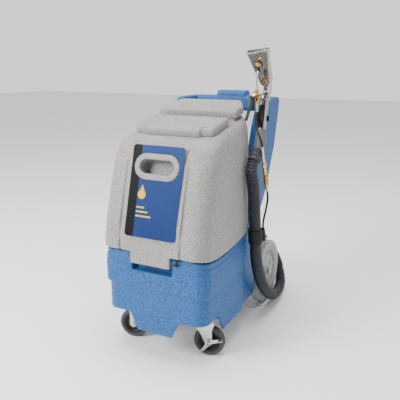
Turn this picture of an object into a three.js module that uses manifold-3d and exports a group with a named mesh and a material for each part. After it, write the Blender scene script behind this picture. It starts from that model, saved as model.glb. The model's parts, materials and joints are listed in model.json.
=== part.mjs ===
// Box carpet extractor: a blue moulded base on two front casters and two large rear wheels, a grey
// recovery tank with two hinged lids on top of it, and an upholstery tool on its vacuum hose.
// Millimetres, +Z up, front towards -Y. Shapes are laid out about the machine's middle plane, X = 0,
// and the whole group is then moved so that the box round it is centred on the origin.
import * as THREE from "three";
import { mergeVertices } from "three/addons/utils/BufferGeometryUtils.js";
import Module from "manifold-3d";

const wasm = await Module();
wasm.setup();

// ---------------------------------------------------------------- driving dimensions
const CENTRE_OFFSET = -31; // the tool stands outside the right-hand side, so the box is off-centre
const GAP = 0.4; // between touching pieces
const WALL = 6; // moulded wall thickness

const BASE = {
  half: 222,
  bandHalf: 231,
  front: -425,
  bandFront: -434,
  back: 125,
  skirt: 103,
  step: 300,
  corner: 50,
};
const TAIL = { half: 150, back: 330, bottom: 112, top: 340 }; // the narrow part between the wheels
const POCKET = { half: 88, depth: 34, low: 373, high: 475 }; // finger pocket below the tank's tongue
const TANK = { half: 229, front: -447, back: 100, frontCorner: 62, backCorner: 165, wall: 5 };
const TONGUE = { half: 85, low: 406, front: -447.4, thick: 14 };
const LEAN = { low: 505, high: 850, shift: 93 }; // the tank's front leans back between these heights
const ROOF = { rise: 0.2, pivotY: -268, from: 560, to: 880, height: 873 }; // roof slope towards the back
const HAND = { half: 73, height: 54, z: 771, ring: 22, depth: 46 }; // hand-hold in the tank's front
const LABEL = { half: 110, low: 514, high: 848, thick: 1.2 };
const LID = { thick: 32.6, wall: 8, drop: 20, barrel: 8 }; // drop: pin below the top face, at the back edge
const FRONT_LID = { front: -268, back: -104, half: 171, lip: 116, z: 906 };
const REAR_LID = { front: -58, back: 98, half: 181, backHalf: 138, z: 961 };
const PIN = 3; // lid hinge pin radius
const STANDPIPE = { x: 60, y: -10, r: 25, low: 440, top: 852 };
const FLOAT = { low: 700, height: 40, r: 44 };
const LATCH = { x: 110, z: 424 };
const FILL = { x: -120, y: -210, neck: 28, bore: 22 }; // filler of the solution tank, below the recovery tank
const SWITCHES = { x: [-70, -30, 10], z: 425, half: 11 };

const WHEEL = { r: 152.4, y: 295, z: 152.4, outer: 218, width: 46, rim: 118, bore: 9 };
const AXLE = { r: 8, half: 228 };
const CASTER = { r: 63.5, width: 32, x: 154.5, y: -291, trail: 22, turn: 12.3, plate: 165 };
const ARM = { inner: 178, outer: 216 };
const HANDLE = { low: 925, top: 994, grip: 1019, gripHalf: 73, front: 295, back: 366 };

const HOSE = { r: 25.5 };
const CUFF = { r: 26, bore: 21 };
const WHIP = { r: 4.5 };
const TOOL = { r: 17, sleeve: 20.5, headWidth: 89, headDepth: 26 };
const TUBE_LOW = [265.4, -6.5, 834];
const TUBE_HIGH = [254.2, 59.6, 1000];
const NECK = [264, 52, 1064];
const MOUTH = [248, -22, 1191];
const ELBOW_ROUTE = [
  [254.8, 56, 991],
  [254.2, 59.6, 1000],
  [254.6, 65.4, 1013],
  [258, 71, 1027],
  [261.5, 69.5, 1040],
  [263.5, 62, 1052],
  [264, 52, 1064],
  [263.1, 47.7, 1071.4],
];
const VALVE = [241, 0, 1010]; // centre of the valve block on the tool

// Routes of the hoses, from the machine's end to the tool's end.
const VACUUM_ROUTE = [
  [209.6, 475.7, 106.7],
  [219.2, 471.7, 86.7],
  [236, 436, 47],
  [248, 368, 33],
  [256, 296, 43],
  [260, 226, 64],
  [261, 140, 121],
  [261, 60, 205],
  [261, 8, 295],
  [261, -14, 372],
  [261, -23, 438],
  [260.5, -32, 505],
  [260, -42, 580],
  [258.5, -57, 660],
  [255.5, -67.5, 703],
  [253.9, -68.5, 727],
  [254.2, -62.5, 745.6],
  [255.9, -52.1, 761.9],
];
const PRESSURE_ROUTE = [
  [143.5, 288, 353],
  [160, 288, 353],
  [200, 272, 345],
  [222, 235, 348],
  [238, 190, 361],
  [250, 146, 377],
  [266, 90, 397],
  [279, 40, 416],
  [285, 10, 438],
  [286, -2, 470],
  [286.5, 2, 505],
  [288, 14, 532],
  [288.5, 30, 562],
  [289, 38, 592],
  [290, 27.2, 620],
];
const WHIP_ROUTE = [
  [290, -54.8, 822.6],
  [289.5, -59.5, 838],
  [280, -57, 860],
  [266, -47, 884],
  [253, -24, 904],
  [244, -4, 926],
  [241.2, 5, 941],
  [241, 8, 950.2],
];
const INLET_ROUTE = [
  [110, 336, 252],
  [112, 372, 251],
  [124, 418, 243],
  [146, 457, 218],
  [174, 480, 178],
  [197, 481, 133],
  [209, 476, 108],
];

const COLOUR = {
  blue: [0x4f86bf, 0.55, 0],
  grey: [0xb9b6ae, 0.6, 0],
  label: [0x2c4f96, 0.35, 0],
  black: [0x1c1d1f, 0.5, 0],
  tyre: [0x4b4d50, 0.7, 0],
  wheel: [0xc4c6c6, 0.55, 0],
  zinc: [0xc9ccc9, 0.35, 0.9],
  steel: [0xb9b9bb, 0.2, 1],
  brass: [0xc9a24a, 0.3, 1],
  hose: [0x55585c, 0.6, 0],
  motor: [0x8d9196, 0.4, 0.8],
  white: [0xdedcd6, 0.6, 0],
  red: [0xb03028, 0.4, 0],
};

// ---------------------------------------------------------------- geometry helpers
const X = new THREE.Vector3(1, 0, 0);
const Y = new THREE.Vector3(0, 1, 0);
const Z = new THREE.Vector3(0, 0, 1);
const vec = (p) => new THREE.Vector3(...p);

// A geometry with only its positions, shared vertices merged.
function bare(geometry) {
  const copy = geometry.clone();
  copy.deleteAttribute("normal");
  copy.deleteAttribute("uv");
  return mergeVertices(copy, 1e-4);
}

function toSolid(geometry) {
  const g = bare(geometry);
  const mesh = new wasm.Mesh({
    numProp: 3,
    vertProperties: new Float32Array(g.attributes.position.array),
    triVerts: new Uint32Array(g.index.array),
  });
  return new wasm.Manifold(mesh);
}

function toGeometry(solid) {
  const m = solid.getMesh();
  return new THREE.BufferGeometry()
    .setAttribute("position", new THREE.BufferAttribute(m.vertProperties, 3))
    .setIndex(new THREE.BufferAttribute(m.triVerts, 1));
}

const join = (...parts) => toGeometry(parts.map(toSolid).reduce((a, b) => a.add(b)));
const cut = (part, ...tools) => toGeometry(tools.map(toSolid).reduce((a, b) => a.subtract(b), toSolid(part)));
const common = (a, b) => toGeometry(toSolid(a).intersect(toSolid(b)));

function box(low, high) {
  const size = high.map((v, i) => v - low[i]);
  return new THREE.BoxGeometry(...size).translate(...low.map((v, i) => v + size[i] / 2));
}

// Turns a geometry that was made along +Z from the origin so that it starts at `from`, towards `to`.
function aim(geometry, from, to) {
  const direction = vec(to).sub(vec(from)).normalize();
  const turn = new THREE.Quaternion().setFromUnitVectors(Z, direction);
  return geometry.applyQuaternion(turn).translate(...from);
}

function rod(from, to, r, sides = 16, rEnd = r) {
  const length = vec(to).distanceTo(vec(from));
  const g = new THREE.CylinderGeometry(rEnd, r, length, sides).rotateX(Math.PI / 2);
  return aim(g.translate(0, 0, length / 2), from, to);
}

function pipe(from, to, r, bore, sides = 16) {
  const over = vec(to).sub(vec(from)).normalize();
  const start = vec(from).sub(over).toArray();
  const end = vec(to).add(over).toArray();
  return cut(rod(from, to, r, sides), rod(start, end, bore, sides));
}

// A solid of revolution about the line from `from` towards `to`; the profile is [radius, height] pairs.
function turned(profile, from, to, sides = 18) {
  const points = profile.map(([r, h]) => new THREE.Vector2(r, h));
  return aim(new THREE.LatheGeometry(points, sides).rotateX(Math.PI / 2), from, to);
}

function shapeOf(points) {
  return new THREE.Shape(points.map(([u, v]) => new THREE.Vector2(u, v)));
}

// An outline extruded along one axis, from `low` to `high`. Outlines are (y, z), (x, z) or (x, y).
function prism(axis, points, low, high) {
  const shape = points instanceof THREE.Shape ? points : shapeOf(points);
  const g = new THREE.ExtrudeGeometry(shape, { depth: high - low, bevelEnabled: false, curveSegments: 5 });
  if (axis === "x") g.applyMatrix4(new THREE.Matrix4().makeBasis(Y, Z, X)).translate(low, 0, 0);
  if (axis === "y") {
    g.applyMatrix4(new THREE.Matrix4().makeBasis(X, Z, Y.clone().negate())).translate(0, high, 0);
  }
  if (axis === "z") g.translate(0, 0, low);
  return g;
}

function roundedBox(half, height, r) {
  const s = new THREE.Shape();
  const [w, h] = [half, height / 2];
  s.moveTo(-w + r, -h);
  s.lineTo(w - r, -h);
  s.absarc(w - r, -h + r, r, -Math.PI / 2, 0);
  s.lineTo(w, h - r);
  s.absarc(w - r, h - r, r, 0, Math.PI / 2);
  s.lineTo(-w + r, h);
  s.absarc(-w + r, h - r, r, Math.PI / 2, Math.PI);
  s.lineTo(-w, -h + r);
  s.absarc(-w + r, -h + r, r, Math.PI, 1.5 * Math.PI);
  return s;
}

// A tube of round section along a smooth curve through the points.
function tube(points, r, sides, steps) {
  const path = new THREE.CatmullRomCurve3(points.map(vec), false, "centripetal");
  const section = new THREE.Shape();
  for (let i = 0; i < sides; i++) {
    const a = (2 * Math.PI * i) / sides;
    if (i) section.lineTo(r * Math.cos(a), r * Math.sin(a));
    else section.moveTo(r, 0);
  }
  return new THREE.ExtrudeGeometry(section, { steps, bevelEnabled: false, extrudePath: path });
}

// One level of a lofted body: a rounded rectangle, symmetric in X, seen from above.
function level({ z, half, front, back, frontCorner, backCorner, steps = 4 }) {
  const ring = [];
  const corner = (cx, cy, r, start) => {
    for (let i = 0; i <= steps; i++) {
      const a = start + ((Math.PI / 2) * i) / steps;
      ring.push(new THREE.Vector3(cx + r * Math.cos(a), cy + r * Math.sin(a), z));
    }
  };
  corner(half - backCorner, back - backCorner, backCorner, 0);
  corner(-half + backCorner, back - backCorner, backCorner, Math.PI / 2);
  corner(-half + frontCorner, front + frontCorner, frontCorner, Math.PI);
  corner(half - frontCorner, front + frontCorner, frontCorner, 1.5 * Math.PI);
  return ring;
}

function loft(levels) {
  const rings = levels.map(level);
  const n = rings[0].length;
  const points = rings.flat();
  const faces = [];
  for (let k = 0; k + 1 < rings.length; k++)
    for (let i = 0; i < n; i++) {
      const j = (i + 1) % n;
      const [a, b, c, d] = [k * n + i, k * n + j, (k + 1) * n + i, (k + 1) * n + j];
      faces.push(a, b, d, a, d, c);
    }
  const centre = (ring) => ring.reduce((s, p) => s.add(p), new THREE.Vector3()).divideScalar(n);
  points.push(centre(rings[0]), centre(rings.at(-1)));
  const top = (rings.length - 1) * n;
  for (let i = 0; i < n; i++) {
    const j = (i + 1) % n;
    faces.push(points.length - 2, j, i);
    faces.push(points.length - 1, top + i, top + j);
  }
  return new THREE.BufferGeometry()
    .setAttribute("position", new THREE.Float32BufferAttribute(points.flatMap((p) => p.toArray()), 3))
    .setIndex(faces);
}

// Moves each vertex of a geometry by a function of its position.
function reshape(geometry, move) {
  const position = geometry.attributes.position;
  const p = new THREE.Vector3();
  for (let i = 0; i < position.count; i++) {
    p.fromBufferAttribute(position, i);
    move(p);
    position.setXYZ(i, p.x, p.y, p.z);
  }
  return geometry;
}

const root = new THREE.Group();
root.position.x = CENTRE_OFFSET;

function add(name, geometry, colour, place = root) {
  const [color, roughness, metalness] = COLOUR[colour];
  const mesh = new THREE.Mesh(geometry, new THREE.MeshStandardMaterial({ color, roughness, metalness }));
  mesh.name = name;
  place.add(mesh);
}

// ---------------------------------------------------------------- base
function baseBody(inset) {
  const bottom = inset ? BASE.skirt - 20 : BASE.skirt;
  const lower = { half: BASE.half - inset, front: BASE.front + inset, back: BASE.back - inset };
  const upper = { half: BASE.bandHalf - inset, front: BASE.bandFront + inset, back: BASE.back - inset };
  const corners = { frontCorner: BASE.corner - inset, backCorner: 18 - inset };
  const body = loft([
    { z: bottom, ...lower, ...corners },
    { z: BASE.step, ...lower, ...corners },
    { z: BASE.step + 5, ...upper, ...corners },
    { z: 520, ...upper, ...corners },
  ]);
  const tail = loft([
    {
      z: TAIL.bottom - (inset ? 20 : 0),
      half: TAIL.half - inset,
      front: 0,
      back: TAIL.back - inset,
      ...corners,
    },
    { z: TAIL.top - inset, half: TAIL.half - inset, front: 0, back: TAIL.back - inset, ...corners },
  ]);
  // Seen from the side: level front edge, arched cut above the caster, top that rises towards the back.
  const side = [
    [-450, 185 - (inset ? 100 : 0)],
    [-302, 185 - (inset ? 100 : 0)],
    [-252, BASE.skirt - (inset ? 100 : 0)],
    [400, BASE.skirt - (inset ? 100 : 0)],
    [400, 508 - inset],
    [30, 508 - inset],
    [2, 488 - inset],
    [-21, 454 - inset],
    [-82, 441 - inset],
    [-165, 431 - inset],
    [-244, 427 - inset],
    [-318, 428 - inset],
    [-370, 434 - inset],
    [-450, 451 - inset],
  ];
  return common(join(body, tail), prism("x", side, -260, 260));
}

function baseHousing() {
  // Recesses for the handle frame's feet, above, and a shallow hollow in each flank below them.
  const recess = [1, -1].map((s) =>
    box([Math.min(s * 177, s * 260), -42, 343], [Math.max(s * 177, s * 260), 200, 560]),
  );
  const flank = [1, -1].map((s) =>
    prism("z", [[s * 240, -72], [s * 214, -52], [s * 206, -20], [s * 206, 140], [s * 240, 140]], 60, 343),
  );
  const pocketWall = box(
    [-POCKET.half - WALL, BASE.bandFront + 3, POCKET.low - WALL],
    [POCKET.half + WALL, BASE.bandFront + POCKET.depth + WALL, 430],
  );
  const pocket = box(
    [-POCKET.half, BASE.bandFront - 20, POCKET.low],
    [POCKET.half, BASE.bandFront + POCKET.depth, POCKET.high],
  );
  const skirt = prism("y", [[-113, 190], [-79, 113], [79, 113], [113, 190]], BASE.front, BASE.front + WALL);
  const cavityRecess = [1, -1].map((s) =>
    box([Math.min(s * 171, s * 260), -48, 337], [Math.max(s * 171, s * 260), 200, 560]),
  );
  const cavityFlank = [1, -1].map((s) =>
    prism("z", [[s * 240, -78], [s * 208, -58], [s * 200, -24], [s * 200, 140], [s * 240, 140]], 40, 343),
  );
  const cavity = cut(baseBody(WALL), ...cavityRecess, ...cavityFlank);
  const shell = cut(join(cut(baseBody(0), ...recess, ...flank, cavity), skirt, pocketWall), pocket);
  const standpipeHole = rod(
    [STANDPIPE.x, STANDPIPE.y, 400],
    [STANDPIPE.x, STANDPIPE.y, 540],
    STANDPIPE.r + 2,
  );
  const inletHole = rod([110, 300, 252], [110, 345, 252], 24);
  const axleHole = rod([-240, WHEEL.y, WHEEL.z], [240, WHEEL.y, WHEEL.z], AXLE.r + 1);
  const fillHole = rod([FILL.x, FILL.y, 400], [FILL.x, FILL.y, 460], FILL.neck + 2);
  return cut(shell, standpipeHole, inletHole, axleHole, fillHole);
}

function chassisPan() {
  const plate = prism(
    "z",
    [[-205, -345], [205, -345], [205, -70], [138, -40], [138, 316], [-138, 316], [-138, -40], [-205, -70]],
    CASTER.plate,
    CASTER.plate + 4,
  );
  const bearer = (s) =>
    box(
      [Math.min(s * 120, s * 126), WHEEL.y - 24, WHEEL.z - 20],
      [Math.max(s * 120, s * 126), WHEEL.y + 24, 167],
    );
  const axle = rod([-150, WHEEL.y, WHEEL.z], [150, WHEEL.y, WHEEL.z], AXLE.r + 0.5);
  return cut(join(plate, bearer(1), bearer(-1)), axle);
}

function solutionTank() {
  const outer = loft(
    [178, 398].map((z) => ({ z, half: 205, front: -386, back: -150, frontCorner: 40, backCorner: 20 })),
  );
  const inner = loft(
    [184, 392].map((z) => ({ z, half: 199, front: -380, back: -156, frontCorner: 34, backCorner: 14 })),
  );
  const neck = rod([FILL.x, FILL.y, 390], [FILL.x, FILL.y, 412], FILL.neck);
  const bore = rod([FILL.x, FILL.y, 380], [FILL.x, FILL.y, 420], FILL.bore);
  return cut(join(outer, neck), inner, bore);
}

function machinery() {
  const motor = (x, y) =>
    turned(
      [[0, 0], [70, 0], [70, 42], [74, 46], [74, 60], [62, 66], [48, 70], [48, 130], [40, 138], [0, 138]],
      [x, y, 170],
      [x, y, 300],
    );
  add("vacuum_motor_right", motor(88, -50), "motor");
  add("vacuum_motor_left", motor(-88, -50), "motor");
  const pumpMotor = join(
    rod([-40, 200, 214], [70, 200, 214], 40, 24),
    box([-30, 165, 170], [60, 235, 182]),
    box([-10, 192, 178], [40, 208, 200]),
  );
  add("pump_motor", pumpMotor, "motor");
  const pumpHead = join(
    box([-92, 168, 182], [-40.5, 232, 246]),
    rod([-66, 168, 214], [-66, 150, 214], 16),
    rod([-66, 200, 246], [-66, 200, 262], 12),
    rod([-92, 200, 214], [-98, 200, 214], 24),
  );
  add("pump_head", pumpHead, "brass");
}

function rearFittings() {
  const wallY = TAIL.back + GAP;
  const inlet = tube(INLET_ROUTE, HOSE.r + 3, 10, 8);
  const bore = tube(INLET_ROUTE, HOSE.r - 3, 10, 8);
  const mouth = rod([197, 481, 133], [213.3, 474.2, 99], HOSE.r - 3, 10);
  const flange = rod([110, wallY, 252], [110, wallY + 6, 252], 40, 24);
  const hole = rod([110, wallY - 5, 252], [110, 345, 252], HOSE.r - 3, 10);
  add("vacuum_inlet", cut(join(inlet, flange), bore, mouth, hole), "black");

  const outlet = join(
    rod([120, 288, TAIL.top + GAP], [120, 288, 347], 10, 6),
    rod([120, 288, 346], [120, 288, 353], 7),
    rod([113, 288, 353], [142, 288, 353], 7),
    rod([128, 288, 353], [138, 288, 353], 9, 6),
  );
  add("solution_outlet", outlet, "brass");

  const gland = join(
    rod([-110, wallY, 290], [-110, wallY + 5, 290], 17, 6),
    rod([-110, wallY + 4, 290], [-110, wallY + 22, 290], 12, 20, 9),
  );
  add("power_inlet", cut(gland, rod([-110, wallY + 8, 290], [-110, wallY + 30, 290], 5, 12)), "black");

  const drain = join(
    rod([-60, wallY, 170], [-60, wallY + 8, 170], 24, 24),
    rod([-60, wallY + 6, 170], [-60, wallY + 48, 170], 15, 20),
    rod([-60, wallY + 24, 170], [-60, wallY + 24, 194], 7, 16),
  );
  add("drain_valve", cut(drain, rod([-60, wallY + 12, 170], [-60, wallY + 60, 170], 10, 16)), "brass");
  const lever = join(
    rod([-60, wallY + 24, 194 + GAP], [-60, wallY + 24, 203], 9, 16),
    box([-66, wallY + 24, 197], [-54, wallY + 80, 201]),
  );
  add("drain_lever", lever, "red");

  const filter = join(
    rod([20, wallY, 180], [20, wallY + 6, 180], 34, 24),
    rod([20, wallY + 5, 180], [20, wallY + 22, 180], 26, 24),
  );
  add("filter_housing", filter, "white");
  const cap = join(
    rod([20, wallY + 22 + GAP, 180], [20, wallY + 38, 180], 31, 16),
    box([-8, wallY + 37, 175], [48, wallY + 48, 185]),
  );
  add("filter_cap", cap, "black");
}

// ---------------------------------------------------------------- handle frame
function handleFrame() {
  const arm = [
    [-40, 345],
    [160, 345],
    [160, 500],
    [165, 512],
    [191, 540],
    [237, 598],
    [269, 669],
    [318, 765],
    [354, 893],
    [372, 976],
    [364, 988],
    [345, 993],
    [185, 993],
    [168, 988],
    [160, 975],
    [110, 890],
    [66, 770],
    [66, 505],
    [26, 500],
    [6, 478],
    [-14, 444],
    [-40, 437],
  ];
  const back = [
    [126, 345],
    [160, 345],
    [160, 500],
    [191, 540],
    [237, 598],
    [269, 669],
    [298, 725],
    [270, 735],
    [240, 680],
    [204, 612],
    [160, 554],
    [126, 512],
  ];
  const bar = [
    [HANDLE.front, HANDLE.low + 12],
    [HANDLE.front + 12, HANDLE.low],
    [HANDLE.back - 18, HANDLE.low],
    [HANDLE.back, HANDLE.low + 20],
    [HANDLE.back, HANDLE.top - 10],
    [HANDLE.back - 10, HANDLE.top],
    [HANDLE.front + 10, HANDLE.top],
    [HANDLE.front, HANDLE.top - 10],
  ];
  const grip = [
    [HANDLE.front + 2, 960],
    [HANDLE.back - 4, 960],
    [HANDLE.back - 4, HANDLE.grip - 12],
    [HANDLE.back - 16, HANDLE.grip],
    [HANDLE.front + 12, HANDLE.grip],
    [HANDLE.front + 2, HANDLE.grip - 10],
  ];
  const frame = join(
    prism("x", arm, ARM.inner, ARM.outer),
    prism("x", arm, -ARM.outer, -ARM.inner),
    prism("x", back, -ARM.inner - 1, ARM.inner + 1),
    prism("x", bar, -ARM.inner - 1, ARM.inner + 1),
    prism("x", grip, -HANDLE.gripHalf, HANDLE.gripHalf),
  );
  const { x: places, z, half } = SWITCHES;
  const pockets = places.map((x) => box([x - half - 1, 148, z - 20], [x + half + 1, 162, z + 20]));
  return cut(frame, ...pockets);
}

function controls() {
  const faceY = 160 + GAP;
  const panel = prism("y", roundedBox(130, 110, 8), faceY, faceY + 3).translate(0, 0, 425);
  const { x: places, z, half } = SWITCHES;
  const slots = places.map((x) => box([x - half, faceY - 1, z - 17], [x + half, faceY + 5, z + 17]));
  add("switch_panel", cut(panel, ...slots), "black");
  const rocker = [
    [faceY + 1.6, z - 16],
    [faceY + 11, z - 15.5],
    [faceY + 7, z],
    [faceY + 5.5, z + 15.5],
    [faceY + 1.6, z + 16],
  ];
  ["pump_switch", "left_vacuum_switch", "right_vacuum_switch"].forEach((name, i) => {
    add(name, prism("x", rocker, places[i] - 10.4, places[i] + 10.4), i ? "black" : "red");
  });
  const gaugeY = faceY + 3 + GAP;
  add(
    "pressure_gauge",
    turned(
      [[0, 0], [27, 0], [29, 3], [29, 22], [26, 24], [26, 20], [0, 20]],
      [80, gaugeY, 445],
      [80, gaugeY + 1, 445],
    ),
    "steel",
  );
  const knob = turned(
    [[0, 0], [12, 0], [15, 3], [15, 20], [13, 23], [0, 23]],
    [80, gaugeY, 393],
    [80, gaugeY + 1, 393],
    12,
  );
  add("pressure_knob", knob, "black");
}

// ---------------------------------------------------------------- wheels and casters
function rearWheels() {
  add("rear_axle", rod([-AXLE.half, WHEEL.y, WHEEL.z], [AXLE.half, WHEEL.y, WHEEL.z], AXLE.r, 20), "zinc");
  for (const [side, s] of [["left", -1], ["right", 1]]) {
    const inner = s * (WHEEL.outer - WHEEL.width);
    const at = [inner, WHEEL.y, WHEEL.z];
    const out = [inner + s, WHEEL.y, WHEEL.z];
    const w = WHEEL.width;
    // Hub, thin web and rim flange in one moulding.
    const rim = [
      [WHEEL.bore, 0],
      [26, 0],
      [26, 14],
      [92, 16],
      [96, 3],
      [WHEEL.rim, 3],
      [WHEEL.rim, w - 3],
      [98, w - 3],
      [92, w - 14],
      [30, w - 16],
      [28, w - 4],
      [WHEEL.bore, w - 4],
      [WHEEL.bore, 0],
    ];
    const tyre = [
      [WHEEL.rim + GAP, 4],
      [130, 0],
      [146, 2],
      [WHEEL.r, 9],
      [WHEEL.r, w - 9],
      [146, w - 2],
      [130, w],
      [WHEEL.rim + GAP, w - 4],
      [WHEEL.rim + GAP, 4],
    ];
    add("wheel_rim_" + side, turned(rim, at, out, 24), "wheel");
    add("wheel_tyre_" + side, turned(tyre, at, out, 24), "wheel");
    const clipAt = s * (WHEEL.outer + 1.5);
    const clip = [[AXLE.r + GAP, 0], [15, 0], [15, 2.5], [AXLE.r + GAP, 2.5], [AXLE.r + GAP, 0]];
    const clipRing = turned(clip, [clipAt, WHEEL.y, WHEEL.z], [clipAt + s, WHEEL.y, WHEEL.z], 12);
    add("axle_clip_" + side, clipRing, "zinc");
  }
}

function caster(side, s) {
  const name = "caster_" + side + "_";
  const place = new THREE.Group();
  place.position.set(s * CASTER.x, CASTER.y, 0);
  root.add(place);
  const top = CASTER.plate - GAP;
  const plate = join(
    box([-51, -46, top - 4], [51, 46, top]),
    rod([0, 0, top - 12], [0, 0, top - 3], 34, 24),
    rod([0, 0, top - 26], [0, 0, top - 11], 7, 16),
  );
  add(name + "plate", plate, "zinc", place);

  const swivel = new THREE.Group();
  swivel.rotation.z = THREE.MathUtils.degToRad(CASTER.turn + (s < 0 ? 180 : 0));
  place.add(swivel);
  const [t, r, w] = [CASTER.trail, CASTER.r, CASTER.width];
  const crown = top - 12 - GAP;
  const leg = [
    [-34, crown],
    [-34, crown - 10],
    [t - 14, r - 6],
    [t - 6, r - 13],
    [t + 6, r - 13],
    [t + 14, r - 4],
    [36, crown],
  ];
  const legY = w / 2 + 4;
  const fork = cut(
    join(
      rod([0, 0, crown - 5], [0, 0, crown], 36, 24),
      prism("y", leg, legY, legY + 3),
      prism("y", leg, -legY - 3, -legY),
      box([-34, -legY - 1, crown - 5], [36, legY + 1, crown - 1]),
      rod([t, -legY - 8, r], [t, legY + 6, r], 5, 12),
    ),
    rod([0, 0, crown - 10], [0, 0, crown + 2], 7 + GAP, 16),
  );
  add(name + "fork", fork, "zinc", swivel);
  const core = [
    [6, -15],
    [14, -15],
    [14, -8],
    [34, -7],
    [38, -13],
    [47, -13],
    [47, 13],
    [38, 13],
    [34, 7],
    [14, 8],
    [14, 15],
    [6, 15],
    [6, -15],
  ];
  add(name + "core", turned(core, [t, 0, r], [t, 1, r], 16), "black", swivel);
  const tyre = [
    [48, -14],
    [56, -16],
    [r - 1.5, -11],
    [r, -5],
    [r, 5],
    [r - 1.5, 11],
    [56, 16],
    [48, 14],
    [48, -14],
  ];
  add(name + "tyre", turned(tyre, [t, 0, r], [t, 1, r], 24), "tyre", swivel);
  // Side-lock brake lever on the outer end of the wheel bolt, with a foot tab at each end.
  const faceY = -legY - 3 - GAP;
  const arm = [
    [t - 12, r + 3],
    [t - 12, r - 9],
    [t - 34, r - 42],
    [t - 27, r - 46],
    [t + 4, r - 13],
    [t + 14, r - 4],
    [t + 58, r + 12],
    [t + 56, r + 22],
    [t + 8, r + 13],
    [t - 4, r + 13],
  ];
  const pedal = cut(
    join(
      prism("y", arm, faceY - 3, faceY),
      box([t + 42, faceY - 20, r + 16], [t + 58, faceY, r + 20]),
    ),
    rod([t, faceY - 30, r], [t, faceY + 10, r], 5 + GAP, 12),
  );
  add(name + "pedal", pedal, "zinc", swivel);
}

// ---------------------------------------------------------------- recovery tank
const ramp = (v, low, high) => THREE.MathUtils.smoothstep(v, low, high);
const leanAt = (z) => LEAN.shift * THREE.MathUtils.clamp((z - LEAN.low) / (LEAN.high - LEAN.low), 0, 1.25);
function tankBody(inset) {
  const rows = [
    [390, 0],
    [480, 0],
    [560, 1],
    [650, 2],
    [740, 4],
    [800, 7],
    [835, 12],
    [855, 20],
    [868, 32],
    [ROOF.height, 44],
  ];
  const kept = rows.filter((row, i) => !inset || i % 2 === 0 || i === rows.length - 1);
  const body = loft(
    kept.map(([z, draw]) => ({
      z: z - (inset && z > 800 ? inset : 0),
      half: TANK.half - inset - draw,
      front: TANK.front + inset + (z > 800 ? draw - 5 : 0),
      back: TANK.back - inset - draw * 0.3,
      frontCorner: TANK.frontCorner - inset + draw * 0.6,
      backCorner: TANK.backCorner - inset - draw * 0.8,
      steps: 5,
    })),
  );
  return reshape(body, (p) => {
    const towardsFront = 1 - ramp(p.y, -330, -60);
    p.y += leanAt(p.z) * towardsFront;
    p.z += ROOF.rise * (p.y - ROOF.pivotY) * ramp(p.z, ROOF.from, ROOF.to);
  });
}

// The tank's lower edge seen from the side, following the base.
function tankUnderside(lift) {
  return [
    [-470, 455],
    [-370, 438],
    [-318, 431.5],
    [-244, 431],
    [-165, 435],
    [-82, 445],
    [-21, 458],
    [0, 492],
    [30, 512],
    [200, 512],
  ].map(([y, z]) => [y, z + lift]);
}

function recoveryTank() {
  const above = (lift) => prism("x", [[200, 1300], [-470, 1300], ...tankUnderside(lift)], -300, 300);
  const outer = common(tankBody(0), above(0));
  const inner = common(tankBody(TANK.wall), above(TANK.wall));
  const tongue = box(
    [-TONGUE.half, TONGUE.front, TONGUE.low],
    [TONGUE.half, TONGUE.front + TONGUE.thick, 470],
  );
  const slope = Math.atan(LEAN.shift / (LEAN.high - LEAN.low));
  const atHand = TANK.front + leanAt(HAND.z);
  const hand = (grow, back, front) =>
    prism("y", roundedBox(HAND.half + grow, HAND.height + 2 * grow, HAND.height / 2 + grow), front, back)
      .rotateX(-slope)
      .translate(0, atHand, HAND.z);
  const frontHole = box([-135, -242, 800], [135, -122, 1000]);
  const rearHole = box([-120, -44, 800], [120, 76, 1000]);
  const { front, half, backHalf, back, z } = REAR_LID;
  const rim = [
    [-half + 14, front + 8],
    [half - 14, front + 8],
    [half - 14, front + 66],
    [backHalf - 12, back - 11],
    [-backHalf + 12, back - 11],
    [-half + 14, front + 66],
  ];
  const coaming = tilted(prism("z", rim, -LID.thick - 22, -LID.thick - GAP), z, front);
  const shell = cut(join(cut(outer, inner), coaming), frontHole, rearHole);
  const ringed = join(
    shell,
    tongue,
    hand(HAND.ring, 0, -6),
    hand(TANK.wall, HAND.depth + TANK.wall, -2),
    ...knuckles(FRONT_LID, [-80, 80], 16, 6),
    ...knuckles(REAR_LID, [-50, 50], 39, 30),
  );
  const pins = [hingePin(FRONT_LID, 200, PIN + GAP), hingePin(REAR_LID, 200, PIN + GAP)];
  const standpipeHole = rod(
    [STANDPIPE.x, STANDPIPE.y, 400],
    [STANDPIPE.x, STANDPIPE.y, 540],
    STANDPIPE.r + 1.2,
  );
  return cut(ringed, hand(0, HAND.depth, -10), standpipeHole, ...pins);
}

function labelPanel() {
  const slope = Math.atan(LEAN.shift / (LEAN.high - LEAN.low));
  const middle = (LABEL.low + LABEL.high) / 2;
  const height = (LABEL.high - LABEL.low) / Math.cos(slope);
  const sheet = prism("y", roundedBox(LABEL.half, height, 12), -LABEL.thick - GAP, -GAP)
    .rotateX(-slope)
    .translate(0, TANK.front + leanAt(middle), middle);
  const ring = prism(
    "y",
    roundedBox(HAND.half + HAND.ring + 1, HAND.height + 2 * HAND.ring + 2, HAND.height / 2 + HAND.ring + 1),
    -12,
    12,
  )
    .rotateX(-slope)
    .translate(0, TANK.front + leanAt(HAND.z), HAND.z);
  return cut(sheet, ring);
}

// Lifts a geometry drawn at the height of a lid's top face, and tilts it with the roof.
function tilted(geometry, z, pivotY) {
  return reshape(bare(geometry), (p) => {
    p.z += z + ROOF.rise * (p.y - pivotY);
  });
}

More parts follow.
